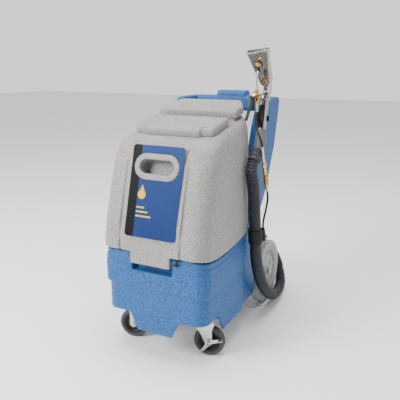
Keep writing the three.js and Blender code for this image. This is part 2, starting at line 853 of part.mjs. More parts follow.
// A lid: an outline in plan, hollow below, with two barrels on webs behind its back edge.
function lid({ outline, inside, size, barrels }) {
  const { front, back, z } = size;
  const plate = cut(prism("z", outline, -LID.thick, 0), prism("z", inside, -LID.thick - 5, -LID.wall));
  const y = back + 9;
  const hinge = barrels.flatMap((x) => [
    rod([x - 22, y, -LID.drop], [x + 22, y, -LID.drop], LID.barrel),
    box([x - 22, y - LID.barrel - 4, -LID.drop - 6], [x + 22, y, -LID.drop + 6]),
  ]);
  return cut(tilted(join(plate, ...hinge), z, front), hingePin(size, 200, PIN + GAP));
}

function frontLid() {
  const { front, back, half, lip } = FRONT_LID;
  const outline = [
    [-half, front + 16],
    [-lip - 8, front + 14],
    [-lip, front],
    [lip, front],
    [lip + 8, front + 14],
    [half, front + 16],
    [half, back],
    [-half, back],
  ];
  const inside = [
    [-half + 6, front + 24],
    [half - 6, front + 24],
    [half - 6, back - 6],
    [-half + 6, back - 6],
  ];
  return lid({ outline, inside, size: FRONT_LID, barrels: [-120, 120] });
}

function rearLid() {
  const { front, back, half, backHalf } = REAR_LID;
  const outline = [
    [-half, front],
    [half, front],
    [half, front + 70],
    [backHalf, back],
    [-backHalf, back],
    [-half, front + 70],
  ];
  const inside = [
    [-half + 6, front + 6],
    [half - 6, front + 6],
    [half - 6, front + 66],
    [backHalf - 5, back - 6],
    [-backHalf + 5, back - 6],
    [-half + 6, front + 66],
  ];
  return lid({ outline, inside, size: REAR_LID, barrels: [-90, 90] });
}

// Air standpipe through the tank's floor, with a stop collar and a hood; the float rises on it.
function standpipe() {
  const { x, y, r, low, top } = STANDPIPE;
  const collar = FLOAT.low - GAP - low;
  const wall = [
    [r - 3, 0],
    [r, 0],
    [r, collar - 6],
    [r + 7, collar - 4],
    [r + 7, collar],
    [r, collar],
    [r, top - low],
    [r - 3, top - low],
    [r - 3, 0],
  ];
  const hoodSection = [
    [0, 21],
    [FLOAT.r - 3, 21],
    [FLOAT.r - 3, 8],
    [FLOAT.r, 8],
    [FLOAT.r, 24],
    [0, 24],
  ];
  const hood = turned(hoodSection, [x, y, top], [x, y, top + 1]);
  const posts = [0, 1, 2].map((i) =>
    box([-2, r - 2.5, -12], [2, r - 0.5, 23]).rotateZ((2 * Math.PI * i) / 3).translate(x, y, top),
  );
  return join(turned(wall, [x, y, low], [x, y, top]), hood, ...posts);
}

function floatRing() {
  const { x, y, r } = STANDPIPE;
  const { low, height, r: outer } = FLOAT;
  const section = [
    [r + 1, 0],
    [outer - 6, 0],
    [outer, 6],
    [outer, height - 6],
    [outer - 6, height],
    [r + 1, height],
    [r + 1, 0],
  ];
  return turned(section, [x, y, low], [x, y, low + 1]);
}

// Small turn-down latch in front of the base, hooked under the edge of the tank.
function tankLatch() {
  const [x, y, z] = [LATCH.x, BASE.bandFront - GAP, LATCH.z];
  return join(
    box([x - 5, y - 3, z], [x + 5, y, z + 22]),
    rod([x - 9, y - 4, z], [x + 9, y - 4, z], 4, 12),
    box([x - 5, y - 8, z + 18], [x + 5, y, z + 22]),
  );
}

// The pin line of a lid: behind its back edge, and below its top face.
function hingeLine({ back, front, z }) {
  const y = back + 9;
  return { y, z: z + ROOF.rise * (y - front) - LID.drop };
}

function hingePin(lidSize, halfSpan, r = PIN) {
  const { y, z } = hingeLine(lidSize);
  return rod([-halfSpan, y, z], [halfSpan, y, z], r, 12);
}

// Knuckles on the tank that hold a pin; each reaches down and forwards to the roof or the coaming.
function knuckles(lidSize, xs, drop, reach) {
  const { y, z } = hingeLine(lidSize);
  return xs.flatMap((x) => [
    box([x - 7, y - 6, z - drop], [x + 7, y + 6, z + 4]),
    box([x - 7, y - reach, z - drop], [x + 7, y + 6, z - drop + 13]),
  ]);
}

// ---------------------------------------------------------------- tool
// Flat vacuum head: a thin steel funnel from the elbow's end to the wide, slot-shaped mouth.
function funnel() {
  const [w, d] = [TOOL.headWidth / 2, TOOL.headDepth / 2];
  const length = vec(MOUTH).distanceTo(vec(NECK));
  const section = (z, half, depth, corner) => ({
    z, half, front: -depth, back: depth, frontCorner: corner, backCorner: corner, steps: 3,
  });
  const outer = loft([
    section(-7, 18.5, 18.5, 18),
    section(7, 23, 17, 7),
    section(length - 24, w - 3, d - 3, 3),
    section(length, w, d, 3),
  ]);
  const inner = loft([
    section(-2, 15, 15, 14.5),
    section(8, 20.5, 15, 6),
    section(length - 24, w - 5, d - 5, 2),
    section(length + 3, w - 2, d - 2, 2),
  ]);
  return { outer: aim(outer, NECK, MOUTH), inner: aim(inner, NECK, MOUTH) };
}

function toolHead() {
  const { outer, inner } = funnel();
  const ferrule = rod(onTube(171), onTube(187), TOOL.r + 5, 18);
  const seat = rod(onTube(168), onTube(178), TOOL.r + GAP, 18);
  const throat = rod(onTube(176), onTube(183), TOOL.r - 2, 14);
  const elbow = tube(ELBOW_ROUTE, TOOL.r, 14, 10);
  const elbowBore = tube(ELBOW_ROUTE, TOOL.r - 2, 14, 10);
  return cut(join(outer, elbow, ferrule), inner, elbowBore, throat, seat);
}

// A point on the tool tube's axis, a distance up from its lower end.
function onTube(distance) {
  const direction = vec(TUBE_HIGH).sub(vec(TUBE_LOW)).normalize();
  return vec(TUBE_LOW).addScaledVector(direction, distance).toArray();
}

// Brass valve block standing off the front of the tube on a short arm, with the stem for its hose below.
function toolValve() {
  const [x, y, z] = VALVE;
  const block = join(
    box([x - 12, y - 12, z - 16], [x + 12, y + 12, z + 16]),
    rod([x, y, z + 15], [x, y, z + 32], 7, 6),
    rod([x, y + 2, z - 15], [x, y + 8, z - 57.5], 6.5, 10),
    rod([x - 6, y - 10, z + 2], [x - 6, y - 26, z + 2], 6, 12),
    box([x - 4, y + 8, z - 7], [x + 8, y + 60, z + 5]),
  );
  return cut(block, rod(onTube(160), onTube(200), TOOL.r + 5 + GAP, 18));
}

// Lever pivoted at the valve's front; its plate hangs down for the fingers.
function toolTrigger() {
  const [x, y, z] = VALVE;
  const plate = [
    [y - 46, z - 4],
    [y - 39, z - 4],
    [y - 47, z - 40],
    [y - 83, z - 86],
    [y - 90, z - 81],
    [y - 55, z - 36],
  ];
  return join(
    box([x - 17, y - 46, z - 4], [x + 5, y - 30, z + 8]),
    prism("x", plate, x - 14, x + 2),
  );
}

// Feed line from the valve up to the jet on the front of the head.
function sprayJet() {
  const [x, y, z] = VALVE;
  const [, footY, footZ] = vec(NECK).lerp(vec(MOUTH), 0.56).toArray();
  const jetX = x + 11;
  const feed = [
    [x, y, z + 32.6],
    [x, y - 1, z + 48],
    [x + 6, footY - 29, footZ - 48],
    [jetX, footY - 27, footZ - 16],
  ];
  return join(
    tube(feed, 3, 8, 10),
    rod([jetX, footY - 26, footZ - 18], [jetX - 1, footY - 34, footZ + 8], 7, 6),
    box([jetX - 4, footY - 28, footZ - 14], [jetX + 4, footY - 16, footZ - 6]),
  );
}

// Cradle behind the grip, on a strut to the outside of the handle frame's right arm.
function toolHolder() {
  const [, y, z] = onTube(100);
  const ring = pipe(onTube(90), onTube(110), TOOL.sleeve + 4.5, TOOL.sleeve + GAP, 20);
  const holder = join(
    cut(ring, box([200, y - 60, z - 40], [320, y + 2, z + 40])),
    rod([252, y + 20, z], [221, y + 96, z], 6, 12),
    box([ARM.outer + GAP, y + 88, z - 13], [ARM.outer + 6, y + 136, z + 13]),
  );
  return cut(holder, rod(onTube(80), onTube(120), TOOL.sleeve + GAP, 20));
}

function tool() {
  add("tool_head", toolHead(), "steel");
  add("tool_tube", pipe(TUBE_LOW, onTube(177.6), TOOL.r, TOOL.r - 2, 18), "steel");
  // The sleeve is open down one side, where the steel shows.
  const [sideX] = onTube(100);
  const strip = box([sideX + 10, -60, 860], [sideX + 40, 120, 1010]);
  const sleeve = pipe(onTube(54), onTube(150), TOOL.sleeve, TOOL.r + GAP, 18);
  add("tool_grip", cut(sleeve, strip), "black");
  add("tool_valve", toolValve(), "brass");
  add("tool_trigger", toolTrigger(), "black");
  add("spray_jet", sprayJet(), "brass");
  add("tool_holder", toolHolder(), "black");
}

// ---------------------------------------------------------------- hoses
// Soft cuff: a collar in line with the hose, then a taper in line with the tool's tube.
function hoseCuff() {
  const low = [256, -51.6, 762.6];
  const high = [265, -9, 828];
  const collar = [
    [0, 0],
    [CUFF.r + 1.5, 0],
    [CUFF.r + 1.5, 5],
    [CUFF.r, 7],
    [CUFF.r - 0.5, 50],
    [CUFF.r - 1.6, 52],
    [CUFF.r - 2, 76],
    [0, 76],
  ];
  const taper = [
    [0, 0],
    [CUFF.r - 2, 0],
    [TOOL.r + 4, 46],
    [TOOL.r + 4, 50],
    [0, 50],
  ];
  const along = vec(high).sub(vec(low)).normalize();
  const inCollar = (d) => vec(low).addScaledVector(along, d).toArray();
  return cut(
    join(turned(collar, low, high, 20), turned(taper, onTube(-12), onTube(0), 20)),
    rod(inCollar(-1), inCollar(58), CUFF.bore, 18),
    rod(inCollar(50), inCollar(76), TOOL.r - 3, 18),
    rod(onTube(-GAP), onTube(60), TOOL.r + GAP, 18),
  );
}

function hoses() {
  add("vacuum_hose", tube(VACUUM_ROUTE, HOSE.r, 10, 30), "hose");
  add("hose_cuff", hoseCuff(), "hose");
  const strapLow = [261, -19.6, 410];
  const strapHigh = [260.6, -27, 470];
  const hoseSlot = tube(VACUUM_ROUTE, HOSE.r + 2 * GAP, 10, 30);
  const lineSlot = tube(PRESSURE_ROUTE, WHIP.r + 2 * GAP, 8, 26);
  const web = join(
    rod(strapLow, strapHigh, HOSE.r + 4.5, 20),
    rod([286, 14, 412], [286, -4, 468], WHIP.r + 5, 12),
  );
  add("hose_strap", cut(web, hoseSlot, lineSlot), "black");
  add("solution_hose", tube(PRESSURE_ROUTE, WHIP.r, 8, 26), "black");
  add("whip_hose", tube(WHIP_ROUTE, WHIP.r, 8, 12), "black");
  // Quick coupling: barb, hexes, sleeve and the whip hose's long ferrule in line.
  const coupling = turned(
    [
      [0, 0],
      [5, 0],
      [6.5, 14],
      [8, 16],
      [8, 38],
      [11, 40],
      [11, 80],
      [8, 84],
      [8, 122],
      [11, 124],
      [11, 138],
      [7, 142],
      [5.5, 160],
      [5.5, 214.5],
      [0, 214.5],
    ],
    [290, 26, 623],
    [290, -54.5, 822],
    10,
  );
  add("quick_coupling", coupling, "brass");
}

// ---------------------------------------------------------------- assembly
add("base_housing", baseHousing(), "blue");
add("chassis_pan", chassisPan(), "zinc");
add("solution_tank", solutionTank(), "blue");
machinery();
rearFittings();
add("handle_frame", handleFrame(), "blue");
controls();
rearWheels();
caster("left", -1);
caster("right", 1);

add("recovery_tank", recoveryTank(), "grey");
add("label_panel", labelPanel(), "label");
add("standpipe", standpipe(), "white");
add("float_ring", floatRing(), "black");
add("front_lid", frontLid(), "grey");
add("rear_lid", rearLid(), "grey");
add("front_hinge_pin", hingePin(FRONT_LID, 160), "zinc");
add("rear_hinge_pin", hingePin(REAR_LID, 125), "zinc");
add("tank_latch", tankLatch(), "steel");
tool();
hoses();

export default root;
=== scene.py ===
"""Looks of a box carpet extractor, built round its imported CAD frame: camera and cords first, then the
moulded shells, wheels, casters, hand tool and fittings, each with a procedural material."""
import json
import math

import bmesh
import bpy
import numpy as np
from mathutils import Matrix, Vector


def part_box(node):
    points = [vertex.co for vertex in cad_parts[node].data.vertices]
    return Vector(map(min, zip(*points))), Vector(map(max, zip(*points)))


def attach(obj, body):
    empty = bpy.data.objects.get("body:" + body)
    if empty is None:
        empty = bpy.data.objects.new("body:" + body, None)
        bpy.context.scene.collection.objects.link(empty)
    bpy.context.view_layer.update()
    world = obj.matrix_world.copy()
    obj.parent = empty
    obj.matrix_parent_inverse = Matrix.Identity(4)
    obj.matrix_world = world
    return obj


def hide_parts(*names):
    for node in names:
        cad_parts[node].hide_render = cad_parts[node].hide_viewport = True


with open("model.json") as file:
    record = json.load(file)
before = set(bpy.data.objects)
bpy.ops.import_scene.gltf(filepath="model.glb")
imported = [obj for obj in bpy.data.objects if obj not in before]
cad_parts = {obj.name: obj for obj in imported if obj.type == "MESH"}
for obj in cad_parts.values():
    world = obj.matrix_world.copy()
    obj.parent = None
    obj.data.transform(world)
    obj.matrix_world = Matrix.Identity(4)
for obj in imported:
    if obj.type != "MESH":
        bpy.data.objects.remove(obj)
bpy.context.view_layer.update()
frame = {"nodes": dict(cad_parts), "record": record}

MM = 0.001
WELD = 1e-6  # metres
SIDES = (("left", -1), ("right", 1))
MID = (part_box("handle_frame")[0][0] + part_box("handle_frame")[1][0]) / 2  # the machine's middle plane

# ---- camera
TARGET = Vector((-0.043, 0.0, 0.556))
camera = bpy.data.objects.new("camera", bpy.data.cameras.new("camera"))
bpy.context.scene.collection.objects.link(camera)
camera.location = (0.9532, -1.9782, 1.1430)
camera.rotation_euler = (TARGET - camera.location).to_track_quat("-Z", "Y").to_euler()
camera.data.lens = 46.57
camera.data.sensor_width = 36.0
camera.data.clip_end = 50
bpy.context.scene.camera = camera


# ---- mesh helpers
def in_row(points):
    """Points in millimetres about the machine's middle plane, as metres in the row frame."""
    return np.asarray(points, float).reshape(-1, 3) * MM + (MID, 0, 0)


def rings_faces(rows, n, looped=False):
    """Quads between rings of n points, closed by a cap at each end or looped back to the first ring."""
    faces = [(k * n + i, k * n + (i + 1) % n, (k + 1) % rows * n + (i + 1) % n, (k + 1) % rows * n + i)
             for k in range(rows if looped else rows - 1) for i in range(n)]
    return faces if looped else faces + [tuple(range(n)), tuple(range((rows - 1) * n, rows * n))]


def linked(name, mesh):
    made = bpy.data.objects.new(name, mesh)
    bpy.context.scene.collection.objects.link(made)
    return made


def welded(mesh, outward=False):
    """Merges points in the same place, and turns the faces outward if asked."""
    tidy = bmesh.new()
    tidy.from_mesh(mesh)
    bmesh.ops.remove_doubles(tidy, verts=tidy.verts, dist=WELD)
    if outward:
        bmesh.ops.recalc_face_normals(tidy, faces=tidy.faces)
    tidy.to_mesh(mesh)
    tidy.free()
    return mesh


def mesh_object(name, points, faces, smooth_angle=32):
    mesh = bpy.data.meshes.new(name)
    mesh.from_pydata([tuple(p) for p in in_row(points)], [], faces)
    mesh.validate()
    made = linked(name, welded(mesh, outward=True))
    shade(made, smooth_angle)
    return made


def shade(piece, angle=32):
    mesh = piece.data
    mesh.polygons.foreach_set("use_smooth", [True] * len(mesh.polygons))
    mesh.set_sharp_from_angle(angle=math.radians(angle))
    mesh.update()


def baked(piece, smooth_angle=None):
    """The piece with its modifiers applied."""
    graph = bpy.context.evaluated_depsgraph_get()
    mesh = bpy.data.meshes.new_from_object(piece.evaluated_get(graph))
    piece.modifiers.clear()
    piece.data = mesh
    if smooth_angle is not None:
        shade(piece, smooth_angle)
    return piece


def combine(piece, tools, operation):
    """Joins tools to the piece, or cuts or keeps what they cover, and deletes them."""
    for tool in tools:
        modifier = piece.modifiers.new("combine", "BOOLEAN")
        modifier.operation = operation
        modifier.solver = "EXACT"
        modifier.object = tool
        baked(piece)
        bpy.data.objects.remove(tool, do_unlink=True)
    return piece


def join(piece, *tools):
    return combine(piece, tools, "UNION")


def cut(piece, *tools):
    return combine(piece, tools, "DIFFERENCE")


def keep(piece, *tools):
    return combine(piece, tools, "INTERSECT")


def moulded(piece, voxel, rounds):
    """Gives every edge the soft radius of a rotational moulding: remesh at `voxel` mm, then smooth."""
    remesh = piece.modifiers.new("remesh", "REMESH")
    remesh.mode = "VOXEL"
    remesh.voxel_size = voxel * MM
    relax = piece.modifiers.new("relax", "SMOOTH")
    relax.factor = 0.5
    relax.iterations = rounds
    return baked(piece, 60)


def edge_bevel(piece, width, segments, angle):
    bevel = piece.modifiers.new("bevel", "BEVEL")
    bevel.width = width * MM
    bevel.segments = segments
    bevel.limit_method = "ANGLE"
    bevel.angle_limit = math.radians(angle)


def bevelled(piece, width, segments=3, angle=35):
    edge_bevel(piece, width, segments, angle)
    return baked(piece, 40)


def merged(name, pieces, smooth_angle=32):
    """One object from several."""
    whole = bmesh.new()
    for piece in pieces:
        whole.from_mesh(piece.data)
    mesh = bpy.data.meshes.new(name)
    whole.to_mesh(mesh)
    whole.free()
    for piece in pieces:
        bpy.data.objects.remove(piece, do_unlink=True)
    made = linked(name, mesh)
    shade(made, smooth_angle)
    return made


def cad_copy(node, name):
    """A piece of its own with a CAD node's shape."""
    mesh = frame["nodes"][node].data.copy()
    mesh.materials.clear()
    return linked(name, welded(mesh))


def box(low, high, name="box"):
    xs, ys, zs = zip(low, high)
    points = [(x, y, z) for x in xs for y in ys for z in zs]
    faces = [(0, 1, 3, 2), (4, 6, 7, 5), (0, 4, 5, 1), (2, 3, 7, 6), (0, 2, 6, 4), (1, 5, 7, 3)]
    return mesh_object(name, points, faces)


def prism(axis, outline, low, high, name="prism"):
    """A closed outline, (y, z), (x, z) or (x, y), extruded along x, y or z."""
    n = len(outline)
    at = "xyz".index(axis)
    points = [(*uv[:at], w, *uv[at:]) for w in (low, high) for uv in outline]
    faces = [tuple(range(n)), tuple(range(n, 2 * n))]
    faces += [(i, (i + 1) % n, n + (i + 1) % n, n + i) for i in range(n)]
    return mesh_object(name, points, faces)


def rounded(half, height, r, steps=10):
    """A rounded rectangle about the origin as (u, v) points."""
    centres = [(half - r, -height / 2 + r, -90), (half - r, height / 2 - r, 0),
               (-half + r, height / 2 - r, 90), (-half + r, -height / 2 + r, 180)]
    return [(cu + r * math.cos(math.radians(start + 90 * i / steps)),
             cv + r * math.sin(math.radians(start + 90 * i / steps)))
            for cu, cv, start in centres for i in range(steps + 1)]


def frame_of(direction):
    """Two unit vectors square to a direction."""
    d = np.asarray(direction, float)
    d = d / np.linalg.norm(d)
    side = np.cross(d, (0, 0, 1)) if abs(d[2]) < 0.9 else np.cross(d, (1, 0, 0))
    side = side / np.linalg.norm(side)
    return side, np.cross(d, side)


def lathe(name, profile, start, end, sides=48, closed=False, smooth_angle=32):
    """A profile of (radius, distance) turned about the line from start towards end, in mm."""
    start, end = np.asarray(start, float), np.asarray(end, float)
    d = (end - start) / np.linalg.norm(end - start)
    u, v = frame_of(d)
    angles = np.linspace(0, 2 * math.pi, sides, endpoint=False)
    points = [start + d * h + r * (math.cos(a) * u + math.sin(a) * v) for r, h in profile for a in angles]
    return mesh_object(name, points, rings_faces(len(profile), sides, closed), smooth_angle)


def distance(start, end):
    return float(np.linalg.norm(np.subtract(end, start)))


def rod(start, end, r, sides=32, bevel=0.6, name="rod"):
    length = distance(start, end)
    profile = [(r - bevel, 0), (r, bevel), (r, length - bevel), (r - bevel, length)]
    return lathe(name, profile, start, end, sides)


def pipe(start, end, r, bore, sides=48, bevel=0.5, name="pipe"):
    length = distance(start, end)
    profile = [(bore, 0), (r - bevel, 0), (r, bevel), (r, length - bevel), (r - bevel, length),
               (bore, length)]
    return lathe(name, profile, start, end, sides, closed=True)


def smooth_route(points, spacing=2.0):
    """The centripetal Catmull-Rom curve through the points, with a point about every `spacing` mm."""
    p = np.asarray(points, float)
    p = np.vstack([2 * p[0] - p[1], p, 2 * p[-1] - p[-2]])
    curve = []
    for i in range(1, len(p) - 2):
        q = p[i - 1:i + 3]
        t = np.concatenate([[0], np.cumsum(np.sqrt(np.linalg.norm(np.diff(q, axis=0), axis=1)))])
        for s in np.linspace(t[1], t[2], 24, endpoint=False):
            a = [((t[k + 1] - s) * q[k] + (s - t[k]) * q[k + 1]) / (t[k + 1] - t[k]) for k in range(3)]
            b = [((t[k + 2] - s) * a[k] + (s - t[k]) * a[k + 1]) / (t[k + 2] - t[k]) for k in range(2)]
            curve.append(((t[2] - s) * b[0] + (s - t[1]) * b[1]) / (t[2] - t[1]))
    curve.append(p[-2])
    curve = np.array(curve)
    along = np.concatenate([[0], np.cumsum(np.linalg.norm(np.diff(curve, axis=0), axis=1))])
    count = max(3, int(round(along[-1] / spacing)) + 1)
    at = np.linspace(0, along[-1], count)
    return np.column_stack([np.interp(at, along, curve[:, k]) for k in range(3)])


def sweep(name, path, radius, sides=24, smooth_angle=50):
    """A tube along a path; `radius` is a number or one for each point of the path."""
    path = np.asarray(path, float)
    radii = np.broadcast_to(np.asarray(radius, float), len(path))
    tangent = np.gradient(path, axis=0)
    tangent /= np.linalg.norm(tangent, axis=1)[:, None]
    u, _ = frame_of(tangent[0])
    angles = np.linspace(0, 2 * math.pi, sides, endpoint=False)
    points = []
    for centre, d, r in zip(path, tangent, radii):
        u = u - d * np.dot(u, d)
        u /= np.linalg.norm(u)
        v = np.cross(d, u)
        points += [centre + r * (math.cos(a) * u + math.sin(a) * v) for a in angles]
    return mesh_object(name, points, rings_faces(len(path), sides), smooth_angle)


def hexagon(start, end, r):
    return bevelled(lathe("hexagon", [(r, 0), (r, distance(start, end))], start, end, 6), 0.6, 2)


def moved(piece, matrix):
    """Turns or shifts a piece's mesh about the machine's middle plane, in metres."""
    home = Matrix.Translation((MID, 0, 0))
    piece.data.transform(home @ matrix @ home.inverted())
    return piece


def dress(piece, material):
    piece.data.materials.clear()
    piece.data.materials.append(material)


def part(piece, body, slot, *nodes, material=None):
    """Puts a finished piece on its CAD body, in its slot's material or another, in place of CAD nodes."""
    dress(piece, material or MATERIAL[slot])
    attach(piece, body)
    if nodes:
        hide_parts(*nodes)
    return piece


# ---- materials
class Look:
    """The node tree of a material or a world; most methods add one node and give its output."""

    def __init__(self, owner):
        owner.use_nodes = True
        self.owner = owner
        self.nodes = owner.node_tree.nodes
        self.links = owner.node_tree.links

    def place(self, space="Object"):
        return self.nodes.new("ShaderNodeTexCoord").outputs[space]

    def axes(self, vector):
        made = self.nodes.new("ShaderNodeSeparateXYZ")
        self.links.new(vector, made.inputs["Vector"])
        return made.outputs

    def noise(self, where, scale, detail=3, roughness=0.6):
        made = self.nodes.new("ShaderNodeTexNoise")
        made.inputs["Scale"].default_value = scale
        made.inputs["Detail"].default_value = detail
        made.inputs["Roughness"].default_value = roughness
        self.links.new(where, made.inputs["Vector"])
        return made.outputs["Fac"]

    def ramp(self, value, stops):
        made = self.nodes.new("ShaderNodeValToRGB")
        elements = made.color_ramp.elements
        while len(elements) < len(stops):
            elements.new(0.5)
        for element, (position, color) in zip(elements, stops):
            element.position = position
            element.color = (*color, 1)
        self.links.new(value, made.inputs["Fac"])
        return made.outputs["Color"]

    def uneven(self, cloud, color, spread):
        """A colour that drifts from a little darker to a little lighter with the cloud."""
        return self.ramp(cloud, [(0.3, tone(color, 1 - spread)), (0.7, tone(color, 1 + spread))])

    def blend(self, factor, a, b, mode="MIX"):
        made = self.nodes.new("ShaderNodeMix")
        made.data_type = "RGBA"
        made.blend_type = mode
        if isinstance(factor, float):
            made.inputs["Factor"].default_value = factor
        else:
            self.links.new(factor, made.inputs["Factor"])
        for socket, value in ((made.inputs[6], a), (made.inputs[7], b)):
            if isinstance(value, tuple):
                socket.default_value = (*value, 1)
            else:
                self.links.new(value, socket)
        return made.outputs[2]

    def scaled(self, value, low, high, ends="To"):
        """Maps 0 to 1 on to low to high, or with `ends` as "From" low to high on to 0 to 1."""
        made = self.nodes.new("ShaderNodeMapRange")
        made.inputs[ends + " Min"].default_value = low
        made.inputs[ends + " Max"].default_value = high
        self.links.new(value, made.inputs["Value"])
        return made.outputs["Result"]

    def feed(self, socket, value):
        """Drives a socket of the material's surface."""
        self.links.new(value, self.nodes["Principled BSDF"].inputs[socket])

    def bump(self, height, strength, distance):
        made = self.nodes.new("ShaderNodeBump")
        made.inputs["Strength"].default_value = strength
        made.inputs["Distance"].default_value = distance
        self.links.new(height, made.inputs["Height"])
        self.feed("Normal", made.outputs["Normal"])


def shader(name, roughness, metallic=0.0, color=(0.5, 0.5, 0.5), specular=0.28):
    look = Look(bpy.data.materials.new(name))
    for socket, value in (("Base Color", (*color, 1)), ("Roughness", roughness), ("Metallic", metallic),
                          ("Specular IOR Level", specular)):
        look.nodes["Principled BSDF"].inputs[socket].default_value = value
    return look


def tone(color, gain):
    return tuple(min(1.0, c * gain) for c in color)


def grey(level):
    return (level, level, level)


def speckled(name, color, contrast):
    """Rotomoulded polyethylene with dark and light flecks through it and an orange-peel surface."""
    roughness = 0.52
    look = shader(name, roughness)
    where = look.place()
    cloud = look.noise(where, 7, 3, 0.5)
    base = look.ramp(look.noise(where, 250, 4, 0.75), [
        (0.34, tone(color, 1 - contrast)), (0.47, tone(color, 1 - 0.35 * contrast)),
        (0.54, tone(color, 1 + 0.2 * contrast)), (0.66, tone(color, 1 + 1.5 * contrast))])
    flecks = look.ramp(look.noise(where, 520, 2, 0.75), [
        (0.34, grey(0.45)), (0.46, grey(0.5)), (0.56, grey(0.5)), (0.68, grey(0.62))])
    flecked = look.blend(min(1.0, 1.6 * contrast), base, flecks, "OVERLAY")
    shadow = look.ramp(cloud, [(0.3, grey(0.46)), (0.7, grey(0.54))])
    look.feed("Base Color", look.blend(0.7, flecked, shadow, "OVERLAY"))
    look.feed("Roughness", look.scaled(cloud, roughness - 0.07, roughness + 0.07))
    look.bump(look.noise(where, 240, 3), 0.16, 0.0006)
    return look.owner


def moulding(name, color, roughness, grain=0.12, scale=900):
    """Plain injection-moulded plastic or rubber with a fine grain and slight unevenness."""
    look = shader(name, roughness)
    where = look.place()
    cloud = look.noise(where, 22, 4)
    look.feed("Base Color", look.uneven(cloud, color, 0.08))
    look.feed("Roughness", look.scaled(cloud, roughness - 0.06, roughness + 0.08))
    look.bump(look.noise(where, scale, 2), grain, 0.0003)
    return look.owner


def metal(name, color, roughness, spread, stain=None, polished=False):
    """Plated, cast or polished metal, with spots of another colour if `stain` gives one."""
    look = shader(name, roughness, 1.0, specular=0.5)
    where = look.place()
    fine = look.noise(where, 160, 4)
    base = look.uneven(look.noise(where, 26, 4), color, spread)
    if stain:
        spots = look.ramp(look.noise(where, 75, 5), [(0.56, grey(0)), (0.72, grey(1))])
        base = look.blend(spots, base, stain)
    look.feed("Base Color", base)
    look.feed("Roughness", look.scaled(fine, max(0.03, roughness - 0.06), roughness + 0.1))
    if not polished:
        look.bump(fine, 0.05, 0.0002)
    return look.owner


MATERIAL = {
    "blue_shell": speckled("blue_shell", (0.018, 0.098, 0.285), 0.6),
    "grey_shell": speckled("grey_shell", (0.29, 0.282, 0.269), 0.42),
    "black_plastic": moulding("black_plastic", (0.010, 0.010, 0.011), 0.42),
    "grip_rubber": moulding("grip_rubber", (0.007, 0.007, 0.008), 0.6, 0.3, 700),
    "red_plastic": moulding("red_plastic", (0.5, 0.03, 0.02), 0.3, 0.04),
    "white_plastic": moulding("white_plastic", (0.72, 0.71, 0.67), 0.45),
    "wheel_plastic": moulding("wheel_plastic", (0.31, 0.315, 0.318), 0.5, 0.2, 500),
    "caster_rubber": moulding("caster_rubber", (0.06, 0.06, 0.065), 0.7, 0.35, 420),
    "hose": moulding("hose_rubber", (0.040, 0.044, 0.052), 0.34, 0.1, 800),
    "cuff": moulding("cuff_rubber", (0.125, 0.13, 0.14), 0.5, 0.15, 800),
    "hose_black": moulding("hose_jacket", (0.012, 0.012, 0.013), 0.4, 0.1, 900),
    "zinc": metal("zinc_plate", (0.50, 0.52, 0.50), 0.28, 0.1, stain=(0.34, 0.34, 0.29)),
    "chrome": metal("polished_steel", (0.42, 0.405, 0.40), 0.11, 0.03, polished=True),
    "brass": metal("machined_brass", (0.62, 0.40, 0.11), 0.2, 0.12, stain=(0.50, 0.33, 0.12)),
    "motor_metal": metal("motor_casting", (0.42, 0.43, 0.44), 0.5, 0.1),
}
COLLAR = moulding("collar_rubber", (0.052, 0.056, 0.063), 0.48, 0.15, 800)
DARK = moulding("dark_bronze", (0.02, 0.017, 0.012), 0.3, 0.1)
YELLOW = moulding("label_yellow", (0.62, 0.39, 0.003), 0.5, 0.03)

# ---- hoses
VACUUM_ROUTE = [
    (207.5, 476.6, 111.2), (219.2, 471.7, 86.7), (236, 436, 47), (248, 368, 33), (256, 296, 43),
    (260, 226, 64), (261, 140, 121), (261, 60, 205), (261, 8, 295), (261, -14, 372), (261, -23, 438),
    (260.5, -32, 505), (260, -42, 580), (258.5, -57, 660), (255.5, -67.5, 703), (253.9, -68.5, 727),
    (254.2, -62.5, 745.6), (255.9, -52.1, 761.9),
]
PRESSURE_ROUTE = [
    (143.5, 288, 353), (160, 288, 353), (200, 272, 345), (222, 235, 348), (238, 190, 361),
    (250, 146, 377), (266, 90, 397), (279, 40, 416), (285, 10, 438), (286, -2, 470), (286.5, 2, 505),
    (288, 14, 532), (288.5, 30, 562), (289, 38, 592), (290, 27.2, 620),
]
WHIP_ROUTE = [
    (290, -54.8, 822.6), (289.5, -59.5, 838), (280, -57, 860), (266, -47, 884), (253, -24, 904),
    (244, -4, 926), (241.2, 5, 941), (241, 8, 950.2),
]
HOSE_R = 25.5
LINE_R = 4.5
TUBE_LOW = np.array((265.4, -6.5, 834))
TUBE_HIGH = np.array((254.2, 59.6, 1000))
NECK = np.array((264, 52, 1064))
MOUTH = np.array((248, -22, 1191))


def length_of(path):
    return float(np.linalg.norm(np.diff(path, axis=0), axis=1).sum()) * MM


def vacuum_hose():
    """Corrugated hose: a ring every 9.2 mm along its whole length."""
    pitch, depth = 9.2, 4.2
    path = smooth_route(VACUUM_ROUTE, pitch / 8)
    along = np.linspace(0, length_of(path) / MM, len(path))
    wave = 0.5 - 0.5 * np.cos(2 * math.pi * along / pitch)
    radii = HOSE_R - 0.1 - depth * wave ** 1.3
    hose = sweep("corrugated_hose", path, radii, 32, 80)
    return part(hose, "base", "hose", "vacuum_hose"), path


